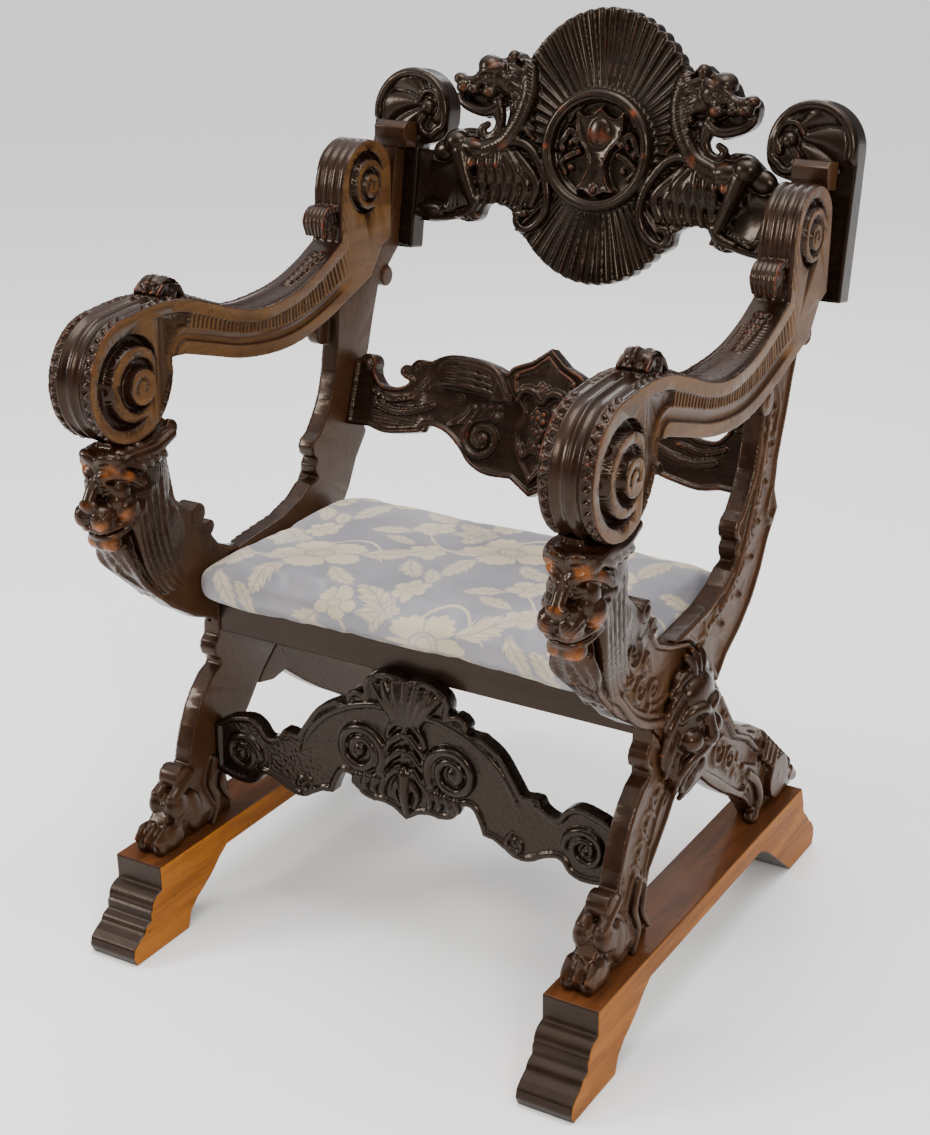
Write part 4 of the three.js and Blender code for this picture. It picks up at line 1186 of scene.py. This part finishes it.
STRETCHER = stood(-158, 0, 0)
stretcher_half = np.vstack([
    [(0, 366)],
    curve([(8, 371), (22, 372), (34, 371), (46, 366), (55, 360), (60, 349), (58, 336)], 4),
    curve([(68, 340), (78, 337), (85, 328), (82, 319)], 4),
    curve([(102, 319), (127, 303), (146, 277), (158, 258)], 5),
    curve([(170, 260), (180, 259), (186, 249), (202, 243), (214, 257), (232, 264), (262, 257)], 4),
    [(284.3, 244), (284.3, 178)],
    curve([(262, 172), (238, 170), (220, 176), (208, 190), (190, 187), (174, 178), (160, 174),
           (146, 176), (136, 182), (120, 191)], 4),
    curve([(106, 192), (100, 208), (90, 224), (76, 222), (66, 204), (48, 198), (34, 199), (18, 196)], 4),
    [(0, 184)]])


def stretcher_shape(bm):
    slab(bm, both(stretcher_half), -9, 9, upright=False)
    for way in (-1, 1):
        ball_at, strand_at = placed(bm, mirror=(way, 1, 1))
        ring = [(x, up, 10) for x, up in coil((64, 262), 34, 10, 215, -1.75, 34)]
        strand_at(ring, 7.4, 4.6)
        ball_at((65, 263, 9), (8, 9, 8))
        strand_at([(x, up, 9) for x, up in coil((240, 212), 26, 8, 180, -1.6, 26)], 5.8, 3.8)
        ball_at((241, 211, 9), (5.5, 6, 7))
        strand_at([(x, up, 8) for x, up in coil((150, 194), 13, 5, 120, 1.1, 12)], 3.8, 3.2)
        ball_at((150, 194, 8), (5, 5, 5))
        strand_at([(24, 326, 8), (48, 326, 9), (84, 314, 9), (118, 292, 9), (142, 262, 8),
                   (152, 240, 7)], 5.2, 3.6)
        for k in range(4):
            strand_at([(30 + 13 * k, 232 - 1.5 * k, 9), (34 + 13 * k, 218, 10),
                       (30 + 13 * k, 206 + 2 * k, 7)], 6.2, 3.6)
        for k in range(4):
            strand_at([(5 + 2 * k, 318 - 22 * k, 9), (20 + k, 306 - 22 * k, 12),
                       (27 + k, 288 - 20 * k, 9)], 5.6, 3)
        ball_at((176, 251, 8), (7, 5, 5))
    for k in range(-3, 4):
        spread_out = 13.5 * k
        strand(bm, [(0.35 * spread_out, 312, 9), (0.8 * spread_out, 340, 12),
                    (spread_out * 1.1, 364 - 0.22 * abs(spread_out), 9)], 5.4, 6.4)
    for up in (300, 276, 252):
        ball(bm, (0, up, 12), (5.5, 7, 6))
    strand(bm, [(0, 246, 10), (0, 222, 13), (0, 192, 9)], 11, 4)
    for way in (-1, 1):
        ball_at, strand_at = placed(bm, mirror=(way, 1, 1))
        strand_at([(6, 240, 9), (16, 222, 10), (10, 202, 8)], 6, 3)


def stretcher_relief(co, normal):
    push = rim_relief(both(stretcher_half), 9, 7.0, 1.8)(co, normal)
    ground = (normal[:, 2] > 0.6) & (np.abs(co[:, 2] - 9) < 1.4) & (push[:, 2] < -0.5)
    dots = np.array([noise.noise(Vector((x * 0.42, up * 0.42, 4.0))) for x, up in co[ground][:, :2]])
    push[ground, 2] -= 0.9 * ease(dots, 0.10, 0.45)
    return push


front_stretcher = carved("scrolled_front_stretcher", stretcher_shape, stretcher_relief, grit=1.6)
# this copy of the waxed walnut is darker than the rest: the extra darkness is painted shade
STRETCHER_WOOD = waxed_wood("walnut_stretcher_waxed", "#150d09", "#0e0806", "#57321d", "#050302", 0, 0.24)
finish_skin(front_stretcher, STRETCHER, STRETCHER_WOOD, triangles=66000)
of_frame(front_stretcher, "front_stretcher")

# ---- seat rails ----------------------------------------------------------------------------------
# A plain walnut rail under the front of the seat; the side and back rails, out of sight under the
# cushion, are sawn beech, stained thinly. Each is a squared board with its arrises eased.

BEECH = waxed_wood("beech_stained_plain", "#6d4022", "#573017", "#8c5a34", "#2a160b", 1, 0.5)
PLAIN_DARK = waxed_wood("walnut_plain_waxed", "#21140e", "#150c08", "#4c2b1b", "#0a0604", 0, 0.28)

for cad_node, slot, wood in (("seat_rail_front", "dark_walnut", PLAIN_DARK),
                             ("seat_rail_back", "plain_beech", BEECH),
                             ("seat_rail_side_right", "plain_beech", BEECH),
                             ("seat_rail_side_left", "plain_beech", BEECH)):
    bm = cad_bmesh(cad_node)
    bmesh.ops.bevel(bm, geom=bm.edges[:], offset=0.0015, affect="EDGES", segments=2, profile=0.5,
                    material=-1)
    bmesh.ops.triangulate(bm, faces=bm.faces[:])
    board = new_piece(cad_node.replace("seat_rail", "seat_board"), bm, smooth=False)
    board.data.materials.append(wood)
    show_wear(board)
    of_frame(board, cad_node)

# ---- cushion -------------------------------------------------------------------------------------
# A loose squab stuffed full and covered in silk damask: a grey-blue satin ground with a figure of
# flowers, serrated leaves and stems in beige. It lies on the four rails between the side frames.


def wrapped(tree, u, v, at, period):
    """Where a point lies from the nearest copy of a motif; each column drops half a repeat."""
    column = maths(tree, "ROUND", maths(tree, "DIVIDE", maths(tree, "SUBTRACT", u, at[0]), period[0]))
    du = maths(tree, "SUBTRACT", maths(tree, "SUBTRACT", u, at[0]),
               maths(tree, "MULTIPLY", column, period[0]))
    dv = maths(tree, "SUBTRACT", maths(tree, "SUBTRACT", v, at[1]),
               maths(tree, "MULTIPLY", column, period[1] / 2))
    return du, maths(tree, "WRAP", dv, period[1] / 2, -period[1] / 2)


def turned(tree, du, dv, angle, size):
    c, s = math.cos(math.radians(angle)), math.sin(math.radians(angle))
    along = maths(tree, "MULTIPLY_ADD", du, c / size[0], maths(tree, "MULTIPLY", dv, s / size[0]))
    across = maths(tree, "MULTIPLY_ADD", dv, c / size[1], maths(tree, "MULTIPLY", du, -s / size[1]))
    return along, across


def woven_leaf(tree, u, v, at, period, angle, length, width, teeth):
    """A serrated leaf with its midrib left in the ground colour."""
    along, across = turned(tree, *wrapped(tree, u, v, at, period), angle, (length, width))
    bent = maths(tree, "SUBTRACT", across, maths(tree, "MULTIPLY",
                                                 maths(tree, "MULTIPLY", along, along), 0.55))
    inside = maths(tree, "MULTIPLY", along, maths(tree, "SUBTRACT", 1.0, along))
    body = maths(tree, "POWER", maths(tree, "MAXIMUM", maths(tree, "MULTIPLY", inside, 4.0), 0.0), 0.7)
    slant = maths(tree, "MULTIPLY_ADD", maths(tree, "ABSOLUTE", bent), -0.22, along)
    tooth = maths(tree, "FRACT", maths(tree, "MULTIPLY", slant, teeth))
    edge = maths(tree, "MULTIPLY", body, maths(tree, "MULTIPLY_ADD", tooth, 0.42, 0.58))
    far = maths(tree, "ABSOLUTE", bent)
    filled = ramp(tree, maths(tree, "SUBTRACT", edge, far), 0.0, 0.05)
    vein = maths(tree, "MAXIMUM", ramp(tree, far, 0.10, 0.03),
                 maths(tree, "MULTIPLY", ramp(tree, maths(tree, "SUBTRACT", tooth, far), 0.16, 0.02),
                       ramp(tree, maths(tree, "SUBTRACT", tooth, far), -0.16, 0.0)))
    return filled, maths(tree, "MULTIPLY", filled, vein)


def woven_flower(tree, u, v, at, period, angle, size, petals):
    """An open flower: lobed petals round a checked heart, parted by thin ground-coloured lines."""
    along, across = turned(tree, *wrapped(tree, u, v, at, period), angle, size)
    far = maths(tree, "SQRT", maths(tree, "ADD", maths(tree, "MULTIPLY", along, along),
                                    maths(tree, "MULTIPLY", across, across)))
    turn = maths(tree, "ARCTAN2", across, along)
    lobe = maths(tree, "ABSOLUTE", maths(tree, "SINE", maths(tree, "MULTIPLY", turn, petals / 2)))
    frill = maths(tree, "ABSOLUTE", maths(tree, "SINE", maths(tree, "MULTIPLY", turn, petals * 2.5)))
    edge = maths(tree, "MULTIPLY_ADD", maths(tree, "POWER", lobe, 0.5), 0.42,
                 maths(tree, "MULTIPLY_ADD", frill, 0.08, 0.52))
    filled = ramp(tree, maths(tree, "SUBTRACT", edge, far), 0.0, 0.06)
    parted = maths(tree, "MULTIPLY", ramp(tree, lobe, 0.22, 0.06), ramp(tree, far, 0.28, 0.36))
    ring = ramp(tree, maths(tree, "ABSOLUTE", maths(tree, "SUBTRACT", far, 0.30)), 0.05, 0.02)
    streak = maths(tree, "MULTIPLY", ramp(tree, frill, 0.3, 0.05), ramp(tree, far, 0.62, 0.45))
    line = maths(tree, "MAXIMUM", parted, maths(tree, "MAXIMUM", ring,
                                                maths(tree, "MULTIPLY", streak, 0.7)))
    return filled, maths(tree, "MULTIPLY", filled, line)


def woven_stem(tree, u, v, at, period, sway, thick):
    du, dv = wrapped(tree, u, v, at, period)
    wave = maths(tree, "MULTIPLY", maths(tree, "SINE", maths(tree, "MULTIPLY", du,
                                                             2 * math.pi / period[0])), sway)
    gap = maths(tree, "ABSOLUTE", maths(tree, "SUBTRACT", dv, wave))
    return ramp(tree, gap, thick * 1.2, thick * 0.8)


damask, tree = new_material("silk_damask_grey_and_beige")
lay = node(tree, "ShaderNodeUVMap", uv_map="weave").outputs[0]
drift = cloudy(tree, lay, 14.0, 2.0)[1]
shifted = node(tree, "ShaderNodeVectorMath", {0: drift, 1: (-0.5, -0.5, -0.5)}, operation="ADD").outputs[0]
drawn_at = node(tree, "ShaderNodeVectorMath", {0: shifted, 1: (0.022, 0.022, 0.0), 2: lay},
                operation="MULTIPLY_ADD").outputs[0]
split = node(tree, "ShaderNodeSeparateXYZ", {0: drawn_at})
u, v = split.outputs[0], split.outputs[1]
PERIOD = (0.200, 0.235)
figure, veins = woven_stem(tree, u, v, (0.02, 0.035), PERIOD, 0.045, 0.0026), None
for at, angle, size, petals in (((0.040, 0.020), 20, (0.062, 0.047), 5),
                                ((0.040, 0.020), 60, (0.036, 0.030), 6),
                                ((0.150, 0.090), -15, (0.026, 0.024), 5),
                                ((0.118, -0.070), 35, (0.029, 0.025), 5),
                                ((0.196, -0.020), 80, (0.030, 0.024), 6)):
    filled, lines = woven_flower(tree, u, v, at, PERIOD, angle, size, petals)
    figure = maths(tree, "MAXIMUM", figure, filled)
    veins = lines if veins is None else maths(tree, "MAXIMUM", veins, lines)
for at, angle, length, width, teeth in (
        ((0.085, 0.040), 30, 0.075, 0.020, 5), ((-0.005, 0.045), 140, 0.070, 0.019, 5),
        ((0.020, -0.020), -110, 0.066, 0.018, 5), ((0.075, -0.010), -40, 0.060, 0.017, 4),
        ((0.150, 0.062), -70, 0.058, 0.016, 4), ((0.175, 0.105), 15, 0.055, 0.015, 4),
        ((0.125, 0.105), 160, 0.050, 0.014, 4), ((0.100, -0.090), 200, 0.056, 0.015, 4),
        ((0.145, -0.075), 10, 0.060, 0.016, 4), ((0.205, 0.005), 110, 0.048, 0.014, 4),
        ((0.190, -0.045), -120, 0.052, 0.015, 4)):
    filled, lines = woven_leaf(tree, u, v, at, PERIOD, angle, length, width, teeth)
    figure = maths(tree, "MAXIMUM", figure, filled)
    veins = maths(tree, "MAXIMUM", veins, lines)
shown = maths(tree, "MULTIPLY_ADD", veins, -0.7, figure)
ground_tone = cloudy(tree, lay, 9.0, 3.0)[0]
ground = blend_colour(tree, ramp(tree, ground_tone, 0.35, 0.65), linear("#78767b"), linear("#8b878b"))
figured = blend_colour(tree, ramp(tree, ground_tone, 0.3, 0.7), linear("#ad9e85"), linear("#beb098"))
colour = blend_colour(tree, shown, ground, figured)
across, down = (
    node(tree, "ShaderNodeTexWave", {0: lay, 1: rate}, wave_type="BANDS", bands_direction=way).outputs[1]
    for rate, way in ((330.0, "X"), (260.0, "Y")))
weft = maths(tree, "ADD", across, maths(tree, "MULTIPLY", down, 0.6))
thread = maths(tree, "MULTIPLY_ADD", figure, 1.6, weft)
relief = node(tree, "ShaderNodeBump", {0: 0.25, 1: 0.0003, "Height": thread}).outputs[0]
shader = node(tree, "ShaderNodeBsdfPrincipled", {
    "Base Color": colour, "Roughness": maths(tree, "MULTIPLY_ADD", shown, 0.22, 0.40), "Normal": relief,
    "IOR": 1.5, "Sheen Weight": 0.25, "Sheen Roughness": 0.4})
node(tree, "ShaderNodeOutputMaterial", {0: shader.outputs[0]})


FILLING_FRAMES = 20
MOST_SWELL = 0.015
SIDE_TOP = 0.462  # above this height the cloth is the top of the cushion, below it the weave runs down


def stuffed_cushion():
    """A slightly small copy of the CAD cushion, filled by pressure like a real squab."""
    low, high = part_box("seat_cushion")
    middle = (low + high) / 2
    low_corner, high_corner = np.array(low), np.array(high)
    bm = bmesh.new()
    bm.from_mesh(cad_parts["seat_cushion"].data)
    bmesh.ops.remove_doubles(bm, verts=bm.verts, dist=1e-5)
    bm.transform(Matrix.Translation(middle) @ Matrix.Diagonal((0.985, 0.975, 0.72, 1))
                 @ Matrix.Translation(-middle))
    pad = fuse("damask_squab_cushion", bm, grit=0.006)
    start = read(pad.data, "co")
    swell = pad.modifiers.new("filling", "CLOTH")
    swell.settings.quality = 4
    swell.settings.use_pressure = True
    swell.settings.uniform_pressure_force = 4
    swell.settings.effector_weights.gravity = 0
    for step in range(1, FILLING_FRAMES + 1):
        bpy.context.scene.frame_set(step)
    settle(pad)
    co = read(pad.data, "co")
    move = co - start
    far = np.linalg.norm(move, axis=1)
    co = start + move * np.minimum(1, MOST_SWELL / np.maximum(far, 1e-9))[:, None]
    co = low_corner + (co - co.min(0)) / (co.max(0) - co.min(0)) * (high_corner - low_corner)
    # the top is crowned, uneven, and creased once from side to side
    share = (co - low_corner) / (high_corner - low_corner)
    crown = np.clip(1 - (2 * share[:, 0] - 1) ** 4, 0, 1) * np.clip(1 - (2 * share[:, 1] - 1) ** 4, 0, 1)
    top = share[:, 2] > 0.5
    co[top, 2] -= 0.006 * (1 - crown[top])
    rise = np.array([noise.noise(Vector(point) * 7.0) for point in co.tolist()])
    co[top, 2] += 0.0028 * rise[top]
    crease = np.abs((co[:, 1] - 0.02) - 0.35 * (co[:, 0] + 0.05) - 0.01 * np.sin(co[:, 0] * 30))
    co[top, 2] -= 0.0022 * (1 - ease(crease, 0.0, 0.016))[top] * ease(share[top, 0], 0.25, 0.4)
    co = np.clip(co, low_corner + (0.0006, 0.0006, 0.0002), high_corner - (0.0006, 0.0006, -0.003))
    pad.data.vertices.foreach_set("co", co.astype(np.float32).ravel())
    pad.data.update()
    finer = pad.modifiers.new("finer", "SUBSURF")
    finer.levels = finer.render_levels = 1
    settle(pad)
    bpy.context.scene.frame_set(1)
    return pad


cushion = stuffed_cushion()
thin_out(cushion, triangles=70000, material=damask)
co, normal = read(cushion.data, "co"), read(cushion.data, "normal")
drop = np.maximum(SIDE_TOP - co[:, 2], 0)
flat = np.stack([co[:, 0] + drop * np.clip(normal[:, 0] * 1.5, -1, 1),
                 co[:, 1] + drop * np.clip(normal[:, 1] * 1.5, -1, 1)], 1)
corner = read(cushion.data, "vertex_index", 1, cushion.data.loops)[:, 0]
weave = cushion.data.uv_layers.new(name="weave")
weave.data.foreach_set("uv", flat[corner].astype(np.float32).ravel())
of_frame(cushion, "seat_cushion")

# ---- floor, light and camera ---------------------------------------------------------------------
# A plain pale floor and soft studio light, seen from the front right, a little above the arms.

floor_paint, tree = new_material("pale_matt_floor")
shader = node(tree, "ShaderNodeBsdfPrincipled", {"Base Color": linear("#f6f5f3"), "Roughness": 0.9})
node(tree, "ShaderNodeOutputMaterial", {0: shader.outputs[0]})
bm = bmesh.new()
bmesh.ops.create_grid(bm, x_segments=1, y_segments=1, size=30)
floor = new_piece("floor", bm)
floor.data.materials.append(floor_paint)


CHAIR_MIDDLE = Vector((0, 0, 0.55))


def soft_light(name, place, size, power, tint=(1, 1, 1)):
    """A square lamp of so many metres and watts, turned to the middle of the chair."""
    lamp = bpy.data.lights.new(name, "AREA")
    lamp.shape, lamp.size, lamp.energy, lamp.color = "SQUARE", size, power, tint
    holder = bpy.data.objects.new(name, lamp)
    bpy.context.scene.collection.objects.link(holder)
    holder.location = place
    holder.rotation_euler = (CHAIR_MIDDLE - Vector(place)).to_track_quat("-Z", "Y").to_euler()


soft_light("window_left", (-2.6, -1.9, 1.9), 0.9, 82, (1.0, 0.98, 0.95))
soft_light("window_right", (2.4, -2.4, 2.2), 0.9, 60, (1.0, 0.95, 0.88))
soft_light("ceiling", (0.3, -0.2, 3.2), 1.6, 66)
soft_light("behind", (-1.0, 2.8, 2.6), 1.4, 26)

world = bpy.data.worlds.new("studio")
bpy.context.scene.world = world
world.use_nodes = True
sky = world.node_tree
heading = node(sky, "ShaderNodeTexCoord").outputs["Generated"]
height = node(sky, "ShaderNodeSeparateXYZ", {0: heading}).outputs[2]
sky.nodes["Background"].inputs[0].default_value = (0.95, 0.96, 0.98, 1)
sky.links.new(maths(sky, "MULTIPLY_ADD", ramp(sky, height, 0.35, 0.95), 2.1, 0.14),
              sky.nodes["Background"].inputs[1])

eye = Vector((1.10015, -1.91778, 1.31910))
yaw, pitch, roll = map(math.radians, (30.2435, 21.558, 0.3467))
ahead = Vector((-math.sin(yaw) * math.cos(pitch), math.cos(yaw) * math.cos(pitch), -math.sin(pitch)))
level = Vector((math.cos(yaw), math.sin(yaw), 0))
above = level.cross(ahead)
across = math.cos(roll) * level + math.sin(roll) * above
upward = math.cos(roll) * above - math.sin(roll) * level
lens = bpy.data.cameras.new("camera")
lens.lens, lens.sensor_width = 61.8, 36
lens.shift_x, lens.shift_y = 0.0036, 0.0081
camera = bpy.data.objects.new("camera", lens)
bpy.context.scene.collection.objects.link(camera)
camera.matrix_world = Matrix.Translation(eye) @ Matrix((across, upward, -ahead)).transposed().to_4x4()
bpy.context.scene.camera = camera
